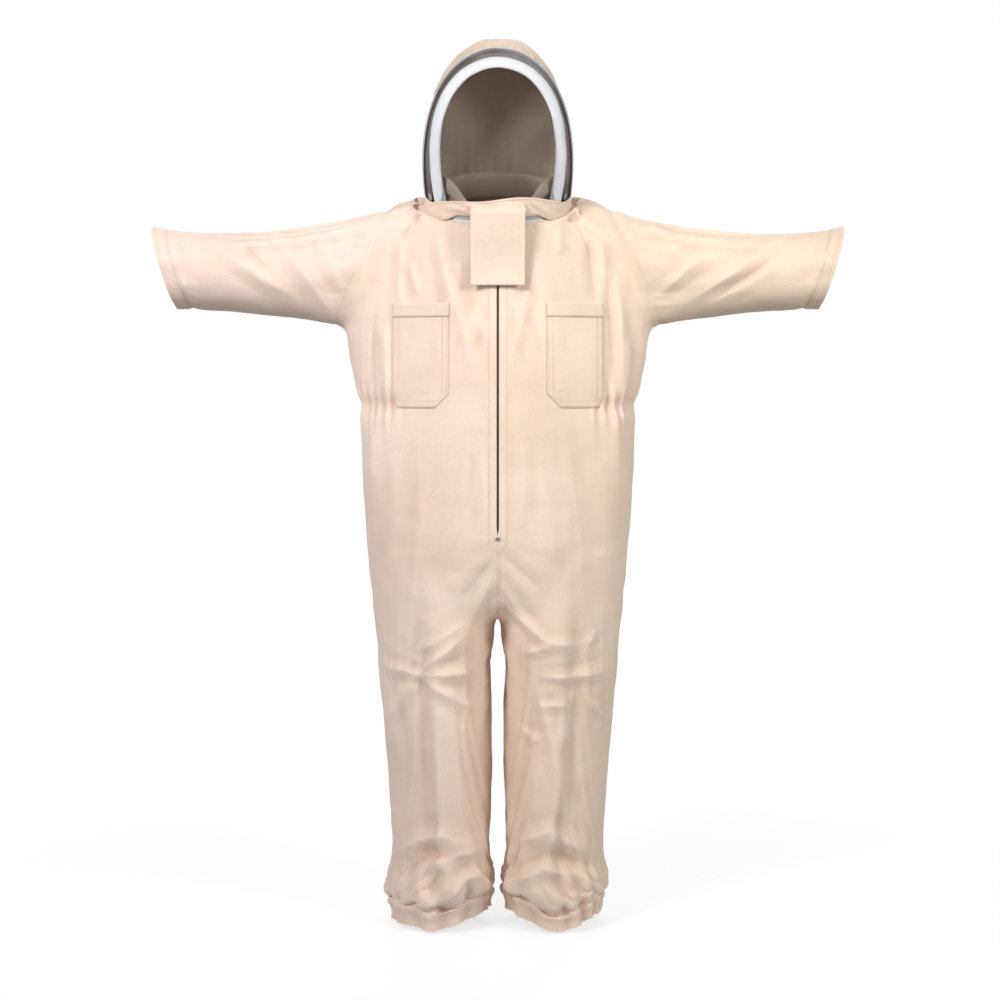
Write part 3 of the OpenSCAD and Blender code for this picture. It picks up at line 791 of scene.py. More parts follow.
# ---- Cutting the cloth into its panels ----

def cut_lines(obj):
    """Cuts new edges into the mesh along every seam, so that the panels have straight edges."""
    slant = np.hypot(1, ARMHOLE_SLANT)
    planes = [((0, SIDE_Y, 0), (0, 1, 0)), ((0, 0, 0), (1, 0, 0)), ((0, 0, HEM_TOP_Z), (0, 0, 1)),
              ((0, 0, HEM_TOP_Z + HEM_LAP), (0, 0, 1))]
    for _, s in SIDES:
        planes.append(((s * ARMHOLE_X, 0, ARMHOLE_Z), (s / slant, 0, ARMHOLE_SLANT / slant)))
        end, normal = (Vector(v) for v in cuff_plane(s))
        planes.append((end - CUFF_HEM * normal.normalized(), normal.normalized()))

    def change(bm):
        for place, normal in planes:
            cut(bm, place, normal, dist=0.0002)
    edit_mesh(obj, change)


def panel(source, name, belongs, lift=0.0, thickness=0.0012):
    """A piece of the cloth: the faces whose middles belong to it, moved outward by lift."""
    keep = belongs(read(source.data.polygons, "center"))
    obj = source.copy()
    obj.data = source.data.copy()
    obj.name = obj.data.name = name
    scene.collection.objects.link(obj)
    if lift:
        move_points(obj, points_of(obj) + lift * normals_of(obj))

    def drop_others(bm):
        bmesh.ops.delete(bm, geom=[f for f in bm.faces if not keep[f.index]], context="FACES")
    edit_mesh(obj, drop_others)
    if name.startswith("front"):
        move_points(obj, part_at_zip(points_of(obj)))
    wrap_uvs(obj)
    return thicken(obj, thickness)


def wrap_uvs(obj):
    """UVs in metres: round the limb or body, and along it."""
    p = points_of(obj)
    arm = past_armhole(p) > -0.001
    leg = p[:, 2] < CROTCH_Z
    middle = np.where(leg, np.where(p[:, 0] > 0, 0.11, -0.11), 0.0)
    turn = np.where(arm, np.arctan2(p[:, 2] - ARM_Z, p[:, 1]), np.arctan2(p[:, 1] * 1.6, p[:, 0] - middle))
    radius = np.where(arm, 0.08, np.where(leg, 0.12, 0.24))
    round_it = turn * radius
    along = np.where(arm, np.abs(p[:, 0]), p[:, 2])
    period = 2 * np.pi * radius
    layer = obj.data.uv_layers.get("UVMap") or obj.data.uv_layers.new(name="UVMap")
    corners = np.empty(len(obj.data.loops), dtype=np.int64)
    obj.data.loops.foreach_get("vertex_index", corners)
    starts = np.empty(len(obj.data.polygons), dtype=np.int64)
    obj.data.polygons.foreach_get("loop_start", starts)
    sizes = np.diff(np.append(starts, len(corners)))
    first = np.repeat(round_it[corners[starts]], sizes)
    u = round_it[corners]
    half = period[corners] / 2
    u = np.where(u - first > half, u - 2 * half, np.where(first - u > half, u + 2 * half, u))
    layer.data.foreach_set("uv", np.stack([u, along[corners]], axis=1).ravel())


# ---- Materials ----

class Paint:
    """A material under construction. A setting is a number or colour, or another node's output to link."""

    def __init__(self, name):
        self.material = bpy.data.materials.new(name)
        self.material.use_nodes = True
        self.nodes, self.links = self.material.node_tree.nodes, self.material.node_tree.links
        self.shader = self.nodes["Principled BSDF"]

    def node(self, kind, settings=None, **inputs):
        made = self.nodes.new("ShaderNode" + kind)
        for name, value in (settings or {}).items():
            setattr(made, name, value)
        self.put(made, **inputs)
        return made

    def put(self, node, **inputs):
        for name, value in inputs.items():
            socket = node.inputs[int(name[2:])] if name.startswith("in") and name[2:].isdigit() \
                else node.inputs[name.replace("_", " ")]
            if isinstance(value, bpy.types.NodeSocket):
                self.links.new(value, socket)
            else:
                socket.default_value = value

    def mix(self, share, low, high):
        return self.node("Mix", {"data_type": "RGBA"}, in0=share, in6=low, in7=high).outputs[2]

    def place(self):
        return self.node("TexCoord").outputs["Object"]

    def math(self, operation, first, second=0.0):
        return self.node("Math", {"operation": operation}, in0=first, in1=second).outputs[0]

    def noise(self, place, scale, detail=2.0):
        return self.node("TexNoise", Vector=place, Scale=scale, Detail=detail).outputs["Fac"]

    def span(self, value, low, high, to_low=0.0, to_high=1.0):
        return self.node("MapRange", in0=value, in1=low, in2=high, in3=to_low, in4=to_high).outputs[0]

    def bumps(self, *layers):
        """Bump from (height, depth in metres, strength) layers, one over the other."""
        normal = None
        for height, depth, strength in layers:
            made = self.node("Bump", Height=height, Distance=depth, Strength=strength)
            if normal is not None:
                self.links.new(normal, made.inputs["Normal"])
            normal = made.outputs["Normal"]
        self.links.new(normal, self.shader.inputs["Normal"])


def colour(red, green, blue):
    """A linear colour from display values of 0 to 255."""
    display = np.array([red, green, blue]) / 255
    linear = np.where(display <= 0.04045, display / 12.92, ((display + 0.055) / 1.055) ** 2.4)
    return (*map(float, linear), 1.0)


def woven(paint, u_size, v_size, diagonal=True):
    """Height of a weave with threads of these sizes in metres, from the UVs."""
    uv = paint.node("UVMap").outputs["UV"]
    split = paint.node("SeparateXYZ", in0=uv)
    u, v = split.outputs[0], split.outputs[1]
    if diagonal:
        u, v = paint.math("ADD", u, v), paint.math("SUBTRACT", v, u)
    rib = paint.math("SINE", paint.math("MULTIPLY", u, 2 * np.pi / u_size))
    pick = paint.math("SINE", paint.math("MULTIPLY", v, 2 * np.pi / v_size))
    return paint.math("ADD", rib, paint.math("MULTIPLY", pick, 0.5))


def cotton(name, base, crease, relief=True):
    """Washed cotton twill: a fine diagonal rib, slubs, mottling, painted shade in the creases, a painted
    highlight on the fold ridges, and painted warmer light on the left side.
    """
    paint = Paint(name)
    place = paint.place()
    # Painted light: the cloth is tinted slightly warmer towards the wearer's left (+x), standing in for warmer
    # light on that side.
    painted_light_side = paint.span(paint.node("SeparateXYZ", in0=place).outputs[0], -0.35, 0.35)
    tone = paint.mix(painted_light_side, base, tuple(c * k for c, k in zip(base, (1.0, 1.0, 0.90, 1.0))))
    tone = paint.mix(paint.span(paint.noise(place, 5.0, 4.0), 0.35, 0.70, 0.0, 0.32), tone, crease)
    slub = paint.span(paint.noise(place, 520.0, 1.0), 0.40, 0.72, 0.0, 0.20)
    tone = paint.mix(slub, tone, crease)
    if relief:
        height = paint.node("Attribute", {"attribute_name": "relief"}).outputs["Fac"]
        # Painted shade: the hollows of the folds, read from the relief attribute, are darkened towards the
        # crease colour.
        tone = paint.mix(paint.span(height, 0.50, 0.0, 0.0, 0.42), tone, crease)
        # Painted highlight: the ridges of the folds are lightened a little.
        ridge_highlight = tuple(min(1.0, c * 1.06) for c in base[:3]) + (1.0,)
        tone = paint.mix(paint.span(height, 0.60, 1.0, 0.0, 0.4), tone, ridge_highlight)
    paint.put(paint.shader, Base_Color=tone, Roughness=0.86, Sheen_Weight=0.22, Sheen_Roughness=0.45)
    paint.bumps((paint.noise(place, 38.0, 5.0), 0.0025, 0.35), (woven(paint, 0.0011, 0.0007), 0.00018, 0.5))
    return paint.material


def webbing(name, base, shade, rib=0.0016):
    """Woven tape: crosswise ribs, a soft sheen, painted shade that greys the hollows between the ribs, and
    greyer mottling.
    """
    paint = Paint(name)
    height = woven(paint, rib, rib * 0.6, diagonal=False)
    # Painted shade: the hollows between the ribs are greyer.
    tone = paint.mix(paint.span(height, -1.2, 1.2), shade, base)
    place = paint.place()
    tone = paint.mix(paint.span(paint.noise(place, 22.0, 3.0), 0.45, 0.75, 0.0, 0.35), tone, shade)
    paint.put(paint.shader, Base_Color=tone, Roughness=0.62, Sheen_Weight=0.3, Sheen_Roughness=0.4)
    paint.bumps((height, 0.0003, 0.8))
    return paint.material


def netting(name, thread, cell, width):
    """See-through veil mesh: threads along both directions, with open cells between."""
    paint = Paint(name)
    split = paint.node("SeparateXYZ", in0=paint.node("UVMap").outputs["UV"])
    lines = []
    for out in (split.outputs[0], split.outputs[1]):
        wave = paint.math("ABSOLUTE", paint.math("SINE", paint.math("MULTIPLY", out, np.pi / cell)))
        lines.append(paint.math("LESS_THAN", wave, float(np.sin(np.pi * width / cell / 2))))
    cover = paint.math("MAXIMUM", lines[0], lines[1])
    place = paint.place()
    faded = tuple(min(1.0, c * 1.9) for c in thread[:3]) + (1.0,)
    tone = paint.mix(paint.span(paint.noise(place, 14.0, 3.0), 0.4, 0.7), thread, faded)
    paint.put(paint.shader, Base_Color=tone, Alpha=cover, Roughness=0.5, Sheen_Weight=0.1)
    paint.bumps((cover, 0.0002, 0.4))
    return paint.material


def metal(name, base, grain):
    """Plated metal with faint draw lines and small scuffs."""
    paint = Paint(name)
    place = paint.place()
    scuff = paint.noise(place, 900.0, 4.0)
    tone = paint.mix(paint.span(scuff, 0.45, 0.75, 0.0, 0.5), base, grain)
    paint.put(paint.shader, Base_Color=tone, Roughness=paint.span(scuff, 0.3, 0.8, 0.22, 0.42), Metallic=1.0)
    paint.bumps((scuff, 0.0001, 0.3))
    return paint.material


def moulded(name, base, shade):
    """Moulded polyester, as zip teeth and stitching thread have it."""
    paint = Paint(name)
    place = paint.place()
    grain = paint.noise(place, 1400.0, 2.0)
    paint.put(paint.shader, Base_Color=paint.mix(paint.span(grain, 0.4, 0.7), base, shade), Roughness=0.45)
    paint.bumps((grain, 0.00006, 0.3))
    return paint.material


def fuzzy(name, base, shade):
    """Hook-and-loop tape: a dense field of tiny hooks or loops."""
    paint = Paint(name)
    place = paint.place()
    cells = paint.node("TexVoronoi", Vector=place, Scale=900.0).outputs["Distance"]
    tone = paint.mix(paint.span(cells, 0.1, 0.7), base, shade)
    paint.put(paint.shader, Base_Color=tone, Roughness=0.9, Sheen_Weight=0.6, Sheen_Roughness=0.6)
    paint.bumps((cells, 0.0006, 0.9))
    return paint.material


def paint_all():
    """Every material, by the short name that the pieces use."""
    # crease: the darker tone of the cloth's random mottling and slubs, and also the painted shade in its
    # creases.
    cream, crease = colour(240, 218, 203), colour(198, 162, 140)
    return {
        "cotton": cotton("cotton_twill", cream, crease),
        "plain_cotton": cotton("cotton_twill_flat", cream, crease, relief=False),
        # A darker copy of the cotton for the collar inside the neck: painted shade.
        "shade_cotton": cotton("collar_cotton_shaded", colour(234, 212, 196), colour(168, 136, 116), relief=False),
        # A darker copy of the cotton for the hood's back: painted shade.
        "dome_shaded_cotton": cotton("dome_twill_shaded", colour(224, 202, 184), colour(168, 142, 122), False),
        "thread": moulded("stitching_thread", colour(214, 184, 158), colour(184, 150, 124)),
        "white": webbing("white_webbing", colour(250, 250, 252), colour(214, 216, 224)),
        "grey": webbing("rear_band_webbing", colour(226, 228, 234), colour(150, 152, 162)),
        "tape": webbing("zip_tape", colour(216, 196, 176), colour(176, 152, 130), 0.0012),
        "dark_tape": webbing("veil_binding", colour(92, 80, 74), colour(58, 50, 46), 0.0012),
        "elastic": webbing("knitted_elastic", colour(232, 230, 226), colour(176, 174, 170), 0.0022),
        "net": netting("veil_mesh_front", colour(52, 41, 34), 0.0013, 0.00030),
        "side_net": netting("veil_mesh_sides", colour(74, 60, 50), 0.0013, 0.00048),
        "coil": moulded("zip_coil", colour(176, 160, 144), colour(138, 120, 104)),
        "white_coil": moulded("neck_zip_coil", colour(228, 226, 222), colour(190, 188, 184)),
        "metal": metal("zip_metal", colour(196, 196, 200), colour(140, 138, 136)),
        "steel": metal("spring_steel", colour(176, 180, 186), colour(120, 122, 126)),
        "hooks": fuzzy("hook_and_loop", colour(222, 210, 196), colour(150, 136, 122)),
    }


def wear(obj, material):
    obj.data.materials.clear()
    obj.data.materials.append(material)
    return obj


def hand_over(piece, body, slot, *nodes, **sheet):
    """Attaches a piece to its body, if it has one, and hides the nodes it replaces. Its slot and flat size are
    not used.
    """
    if body:
        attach(piece, body)
    if nodes:
        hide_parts(*nodes)


# ---- Stitching ----

def resample(path, pitch):
    path = np.asarray(path, float)
    gaps = np.linalg.norm(np.diff(path, axis=0), axis=1)
    at = np.concatenate([[0], np.cumsum(gaps)])
    marks = np.arange(0, at[-1], pitch)
    return np.stack([np.interp(marks, at, path[:, k]) for k in range(3)], axis=1)


def stitches(name, paths, pitch=0.0042, length=0.0030, half=0.00042):
    """A row of thread stitches along each path of points, as one mesh of small spindles."""
    points, faces = [], []
    for path in paths:
        marks = resample(path, pitch)
        if len(marks) < 3:
            continue
        ways = np.gradient(marks, axis=0)
        ways /= np.maximum(np.linalg.norm(ways, axis=1, keepdims=True), 1e-9)
        for mark, way in zip(marks, ways):
            aside = np.cross(way, (0.31, 0.77, 0.56))
            aside /= np.linalg.norm(aside)
            other = np.cross(way, aside)
            k = len(points)
            points += [mark - way * length / 2, mark + way * length / 2]
            points += [mark + half * (np.cos(a) * aside + np.sin(a) * other) for a in (0, 1.57, 3.14, 4.71)]
            for j in range(4):
                a, b = k + 2 + j, k + 2 + (j + 1) % 4
                faces += [(k, b, a), (k + 1, a, b)]
    return new_object(name, points, faces)


def sew(name, paths, material, body, *size):
    """Stitches that ride on a body."""
    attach(wear(stitches(name, paths, *size), material), body)


class Skin:
    """The finished cloth surface, for laying things on it."""

    def __init__(self, *objects):
        points, faces = [], []
        for obj in objects:
            start = len(points)
            points += [v.co.copy() for v in obj.data.vertices]
            faces += [[start + i for i in f.vertices] for f in obj.data.polygons]
        self.tree = BVHTree.FromPolygons(points, faces)

    def hit(self, origin, way, lift=0.0):
        place, normal, _, _ = self.tree.ray_cast(Vector(origin), Vector(way).normalized())
        if place is None:
            return None
        if normal.dot(Vector(way)) > 0:
            normal = -normal
        return np.array(place - Vector(way).normalized() * lift)

    def front(self, line, lift=0.0003, back=False):
        """Points on the front, or the back, over a line of (x, z) points."""
        y, way = (1.0, (0, -1, 0)) if back else (-1.0, (0, 1, 0))
        dense = resample([(x, 0, z) for x, z in line], 0.006)
        found = [self.hit((x, y, z), way, lift) for x, _, z in dense]
        return [f for f in found if f is not None]

    def around(self, centre, up, across, lift=0.0003, steps=150):
        """Points round a tube, hit from a point inside it, in the plane of these two directions."""
        found = []
        up, across = np.asarray(up, float), np.asarray(across, float)
        for k in range(steps + 1):
            t = np.radians(k * 360 / steps)
            way = np.cos(t) * across + np.sin(t) * up
            place, _, _, _ = self.tree.ray_cast(Vector(centre), Vector(way).normalized())
            if place is not None:
                found.append(np.array(place) + lift * way / np.linalg.norm(way))
        return found


# ---- Leg and sleeve pieces, baked in place ----

def on_leg(piece):
    """A piece that reaches the legs: its hems ride up and its transform is baked into its mesh."""
    rise_hem(piece)
    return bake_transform(piece)


def on_sleeve(piece):
    """A sleeve piece: its transform is baked into its mesh."""
    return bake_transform(piece)


# ---- The coverall's panels ----

PANEL_AREA = 0.48
SLEEVE_AREA = 0.18


def make_panels(cloth, paint):
    """Cuts the cloth along its seams into panels, sleeves, cuffs and hems, and attaches each cuff and hem to
    its body.
    """
    for side, s in SIDES:
        def trunk(c, s=s):
            return (s * c[:, 0] > 0) & (past_armhole(c) < 0)

        def arm(c, s=s):
            return (s * c[:, 0] > 0) & (past_armhole(c) > 0) & (c[:, 2] > -0.5)

        front = panel(cloth, "front_" + side, lambda c: trunk(c) & (c[:, 2] > HEM_TOP_Z) & (c[:, 1] < SIDE_Y))
        back = panel(cloth, "back_" + side, lambda c: trunk(c) & (c[:, 2] > HEM_TOP_Z) & (c[:, 1] > SIDE_Y))
        front_nodes = ["front_panel_" + side, "thigh_" + side, "leg_" + side]
        for piece, nodes in ((front, front_nodes), (back, ["back_panel"])):
            on_leg(wear(piece, paint["cotton"]))
            hand_over(piece, None, "cotton_twill", *nodes, flat=(0.39, 1.40), held="hung", area=PANEL_AREA)
        sleeve = panel(cloth, "sleeve_cloth_" + side, lambda c: arm(c) & (past_cuff_line(c) < 0))
        on_sleeve(wear(sleeve, paint["cotton"]))
        hand_over(sleeve, None, "cotton_twill", "shoulder_" + side, "sleeve_" + side,
                  flat=(0.56, 0.44), held="hung", area=SLEEVE_AREA)
        cuff = panel(cloth, "cuff_turned_hem_" + side, lambda c: arm(c) & (past_cuff_line(c) > 0),
                     0.0009, 0.0024)
        hem = panel(cloth, "leg_turned_hem_" + side, lambda c: trunk(c) & (c[:, 2] < HEM_TOP_Z + HEM_LAP),
                    0.0013, 0.0022)
        rise_hem(hem)
        for piece, body, node, flat in ((cuff, "sleeve_", "cuff_hem_", (0.50, 0.030)),
                                        (hem, "leg_", "leg_hem_", (0.70, 0.034))):
            wear(piece, paint["cotton"])
            hand_over(piece, body + side, "cotton_twill", node + side, flat=flat, held="gathered")
    bpy.data.objects.remove(cloth)


def make_seams(skin, paint):
    """Topstitching along the seams."""
    placket = [(0.0165, -0.060), (0.0165, -0.632), (0.010, -0.643), (0, -0.646), (-0.010, -0.643),
               (-0.0165, -0.632), (-0.0165, -0.060)]
    yoke = [(-0.20, -0.075), (-0.10, -0.088), (0, -0.092), (0.10, -0.088), (0.20, -0.075)]
    paths = [skin.front(placket), skin.front([(0.004, -0.652), (0.004, -0.735)]),
             skin.front(yoke, back=True), skin.front([(x, z - 0.006) for x, z in yoke], back=True)]
    paths += [skin.front([(x, -0.10), (x, -0.71)], back=True) for x in (-0.0045, 0.0045)]
    slant = np.array([-ARMHOLE_SLANT, 0, 1.0]) / np.hypot(1, ARMHOLE_SLANT)
    for _, s in SIDES:
        for inset in (0.005, 0.011):
            centre = (s * (ARMHOLE_X + 0.0465 - inset), SIDE_Y, ARM_Z)
            paths.append(skin.around(centre, slant * (s, 1, 1), (0, 1, 0)))
    sew("body_topstitching", paths, paint["thread"], "coverall")
    lean = np.array([CUFF_SLANT, 0, 1.0]) / np.hypot(1, CUFF_SLANT)
    for side, s in SIDES:
        paths = []
        for y in (SIDE_Y + 0.004, SIDE_Y + 0.010):
            for origin, way, top in ((1.0, -1, -0.235), (0.0, 1, -0.775)):
                heights = np.arange(top, HEM_TOP_Z, -0.006)
                line = [skin.hit((s * origin, y, z), (s * way, 0, 0), 0.0003) for z in heights]
                paths.append([p for p in line if p is not None])
        on_leg(wear(stitches("leg_topstitching_" + side, paths), paint["thread"]))
        hem = [skin.around((s * LEG_X, 0, z), (0, 1, 0), (1, 0, 0), 0.0012)
               for z in (HEM_TOP_Z - 0.003, HEM_Z + 0.007)]
        row = rise_hem(wear(stitches("hem_topstitching_" + side, hem), paint["thread"]))
        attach(row, "leg_" + side)
        centres = [(s * (CUFF_X - 0.024 - away), SIDE_Y, ARM_Z) for away in (CUFF_HEM - 0.003, 0.007)]
        cuffs = [skin.around(centre, lean * (s, 1, 1), (0, 1, 0), 0.0012) for centre in centres]
        sew("cuff_topstitching_" + side, cuffs, paint["thread"], "sleeve_" + side)


# ---- Pockets ----

POCKET_X = (0.090, 0.196)
POCKET_Z = (-0.191, -0.384)
POCKET_CUT = 0.026
POCKET_MOUTH_HEM = 0.026


def make_pocket(skin, paint, side, s):
    """A patch pocket with cut lower corners, the inner one larger, stitched on, its mouth a little open."""
    inner, outer = POCKET_X
    top, bottom = POCKET_Z
    downs, acrosses = np.linspace(0, 1, 46), np.linspace(0, 1, 28)
    grid = np.zeros((len(downs), len(acrosses), 3))
    for i, down in enumerate(downs):
        z = top + (bottom - top) * down
        cut = np.clip(POCKET_CUT - (z - bottom), 0, POCKET_CUT)
        for j, across in enumerate(acrosses):
            x = inner + cut + (outer - inner - cut - 0.35 * cut) * across
            grid[i, j] = skin.hit((s * x, -1, z), (0, 1, 0))
    y = grid[:, :, 1]
    for _ in range(6):
        y[1:-1, 1:-1] = (y[:-2, 1:-1] + y[2:, 1:-1] + y[1:-1, :-2] + y[1:-1, 2:]) / 4
    edge = np.minimum.reduce([np.tile(acrosses, (len(downs), 1)), np.tile(1 - acrosses, (len(downs), 1)),
                              np.tile((1 - downs)[:, None], (1, len(acrosses)))])
    slack = ramp(edge, 0.0, 0.22)
    mouth = np.exp(-downs / 0.10)[:, None] * np.sin(np.pi * acrosses)[None, :]
    ripple = grid_waves(grid, 0.075, 40 + s) * 0.0010 + grid_waves(grid, 0.030, 50 + s) * 0.0004
    grid[:, :, 1] -= 0.0016 + 0.0020 * slack + 0.0045 * mouth + ripple * slack
    if s < 0:
        grid = grid[:, ::-1]
    pocket = thicken(grid_object("chest_pocket_cloth_" + side, grid[::-1]), 0.0012)
    hem_rows = int(len(downs) * POCKET_MOUTH_HEM / (top - bottom)) + 1
    fold = grid[:hem_rows].copy()
    fold[:, :, 1] -= 0.0011
    hem = thicken(grid_object("pocket_mouth_hem_" + side, fold[::-1]), 0.0012)
    hand_over(wear(hem, paint["plain_cotton"]), "coverall", "cotton_twill")
    hand_over(wear(pocket, paint["plain_cotton"]), "coverall", "cotton_twill", "chest_pocket_" + side,
              flat=(0.108, 0.195), held="stretched", rests_on=["front_" + side], with_pieces=[hem])
    rows, cols = grid.shape[:2]
    paths = []
    for inset in (1, 3):
        foot, far = rows - 1 - inset, cols - 1 - inset
        rim = [*grid[:foot + 1, inset], *grid[foot, inset:far + 1], *grid[foot::-1, far]]
        paths.append(np.array(rim) + (0, -0.0006, 0))
    paths.append(grid[hem_rows - 2, 1:-1] + (0, -0.0016, 0))
    sew("pocket_topstitching_" + side, paths, paint["thread"], "coverall", 0.0038, 0.0027)


# ---- The front zip ----

def zip_point(x, depth, below):
    """A point x aside, this deep behind the zip's face and this far below its top."""
    lean = np.arctan(ZIP_LEAN)
    down = np.array([0, -np.sin(lean), -np.cos(lean)])
    inward = np.array([0, np.cos(lean), -np.sin(lean)])
    return ZIP_TOP + np.array([x, 0, 0]) + depth * inward + below * down


MAIN_ZIP_LEN = 0.558


def make_main_zip(paint):
    """The front zip's two tapes behind the cloth's edges, and its closed teeth."""
    for side, s in SIDES:
        downs = np.linspace(0.006, MAIN_ZIP_LEN, 90)
        xs = np.linspace(0.0032, 0.0158, 7)
        grid = np.array([[zip_point(s * x, 0.0042 + 0.0004 * np.sin(d * 90), d) for x in xs[::s]]
                         for d in downs])
        tape = wear(thicken(grid_object("front_zip_tape_" + side, grid), 0.0007), paint["tape"])
        hand_over(tape, "coverall", "zip_tape", "main_zip_tape_" + side,
                  flat=(0.013, 0.552), held="stretched", rests_on=["front_" + side])
    downs = np.arange(0.0024, MAIN_ZIP_LEN, 0.0019)
    along, aside, out = np.array([[0, 0, -1.0], [1.0, 0, 0], [0, 1.0, 0]])
    places = [(zip_point(0, 0.0036, d), along, aside, out) for d in downs]
    teeth = wear(tooth_row("front_zip_teeth", places, 0.0011, 0.0030, 0.0019, True), paint["coil"])
    hand_over(teeth, "coverall", "zip_coil", "main_zip_coil")


BLOCK_CORNERS = [(i, j, m) for i in (-1, 1) for j in (-1, 1) for m in (-1, 1)]
BLOCK_FACES = ((0, 1, 3, 2), (4, 6, 7, 5), (0, 4, 5, 1), (2, 3, 7, 6), (0, 2, 6, 4), (1, 5, 7, 3))


def tooth_row(name, places, width, reach, depth, alternate):
    """Zip teeth at (point, along, aside, outward) places, which may lean to each side in turn."""
    points, faces = [], []
    for k, (at, along, aside, out) in enumerate(places):
        s = (1 if k % 2 else -1) if alternate else 0
        middle = at + s * aside * reach / 2
        faces += [[len(points) + v for v in face] for face in BLOCK_FACES]
        for i, j, m in BLOCK_CORNERS:
            narrow = 0.65 if j == s else 1.0
            corner = middle + along * i * width / 2 * narrow + aside * j * reach / 2
            points.append(corner + out * m * depth / 2 * narrow)
    return new_object(name, points, faces)


# ---- The neck: band, zip and collar ----

def revolve(name, profile, start, stop, steps, wobble=None, closed=False):
    """Sweeps a profile of (radius, rise) points round the neck circle's axis."""
    turns = np.linspace(start, stop, steps, endpoint=not closed)
    grid = np.array([[ring_at(t, rise, radius - RING_R) for t in turns] for radius, rise in profile])
    if wobble is not None:
        grid = wobble(grid)
    return grid_object(name, grid, closed)


def make_neck(paint):
    """The neck band, and the neck zip's lower and upper tape and teeth."""
    for name, profile, steps, thickness, material, body, node, slot, flat in (
            ("neck_stand", [(0.1331, -0.0150), (0.1333, -0.0100), (0.1331, -0.0056)], 180, 0.0014,
             "plain_cotton", "coverall", "neck_band", "cotton_twill", (0.84, 0.010)),
            ("neck_zip_tape_lower", [(0.1342, -0.0125), (0.1343, -0.008), (0.1343, -0.0030)], 200, 0.0007,
             "white", "coverall", "neck_zip_lower_tape", "white_webbing", (0.84, 0.0110)),
            ("neck_zip_tape_upper", [(0.1344, 0.0030), (0.1346, 0.008), (0.1345, 0.0130)], 200, 0.0007,
             "white", "hood", "neck_zip_upper_tape", "white_webbing", (0.84, 0.010))):
        piece = thicken(revolve(name, profile, 0, 360, steps, closed=True), thickness)
        hand_over(wear(piece, paint[material]), body, slot, node, flat=flat, held="stretched")
    for name, rise, body, node in (("neck_zip_teeth_lower", -0.00155, "coverall", "neck_zip_lower_coil"),
                                   ("neck_zip_teeth_upper", 0.00155, "hood", "neck_zip_upper_coil")):
        places = []
        for r in np.radians(np.arange(-86.5, 266.5, 0.80)):
            out = np.cos(r) * np.array([1.0, 0, 0]) + np.sin(r) * RING_OUT
            along = -np.sin(r) * np.array([1.0, 0, 0]) + np.cos(r) * RING_OUT
            places.append((RING_R * out + rise * RING_UP, along, RING_UP, out))
        teeth = wear(tooth_row(name, places, 0.0011, 0.0026, 0.0021, False), paint["white_coil"])
        hand_over(teeth, body, "zip_coil", node)


def make_collar(paint):
    """A shirt collar standing inside the neck, folded over and open at the front."""
    profile = [(0.1305, -0.017), (0.1255, -0.010), (0.1210, -0.003), (0.1170, 0.006), (0.1138, 0.016),
               (0.1122, 0.025), (0.1130, 0.0315), (0.1155, 0.0340), (0.1185, 0.0325), (0.1210, 0.0260),
               (0.1235, 0.0180), (0.1262, 0.0085)]

    def crumple(smooth):
        high = np.linspace(0, 1, len(smooth))[:, None]
        push = 0.0022 * grid_waves(smooth, 0.07, 61) + 0.0010 * grid_waves(smooth, 0.03, 62)
        push = push * ramp(high, 0.1, 0.5)
        grid = smooth + push[..., None] * unit(smooth - (smooth @ RING_UP)[..., None] * RING_UP)
        grid[:, :, 2] += 0.0030 * high * grid_waves(smooth, 0.11, 63)
        aside = np.abs(grid[:, :, 0])
        slope = 0.030 * ramp(aside, 0.050, 0.100) - 0.014 * ramp(-aside, -0.080, -0.044)
        grid[:, :, 2] += slope * ramp(high, 0.0, 0.5) * ramp(-grid[:, :, 1], -0.03, 0.06)
        return grid
    collar = thicken(revolve("shirt_collar", profile, -70, 250, 150, crumple), 0.0014)
    # The collar wears the darker copy of the cotton: painted shade.
    wear(collar, paint["shade_cotton"])
    hand_over(collar, "coverall", "cotton_twill", "collar", flat=(0.68, 0.085), held="folded")


# ---- The hood ----

HOOD_RISE = 0.0142


def foot_of(degrees):
    return ring_at(-degrees, HOOD_RISE, 0.0008)


class Hoop:
    """An arch over the head. Angle s has 0 at the left foot and 180 at the right one."""

    def __init__(self, foot, top, fullness):
        p = foot_of(foot)
        self.base = np.array([0, p[1], p[2]])
        self.half = p[0]
        self.up = np.array([0, *top]) - self.base
        self.fullness = fullness

    def at(self, s, grow=0.0):
        r = np.radians(np.asarray(s, float))[..., None]
        up = self.up * (1 + grow / np.linalg.norm(self.up))
        aside = (self.half + grow) * np.cos(r) + self.fullness * np.sin(2 * r)
        return self.base + aside * np.array([1.0, 0, 0]) + np.sin(r) * up


FRONT_FOOT, REAR_FOOT = 34.5, 2.0
FRONT_HOOP = Hoop(FRONT_FOOT, (-0.112, 0.254), 0.027)
REAR_HOOP = Hoop(REAR_FOOT, (-0.015, 0.288), 0.018)
DOME_BULGE = np.array([0, 0.078, 0.124])
VEIL_BULGE = np.array([0, -0.034, 0])
DOME_AREA, FACE_AREA, SIDE_AREA, SKIRT_AREA = 0.140, 0.067, 0.060, 0.0140


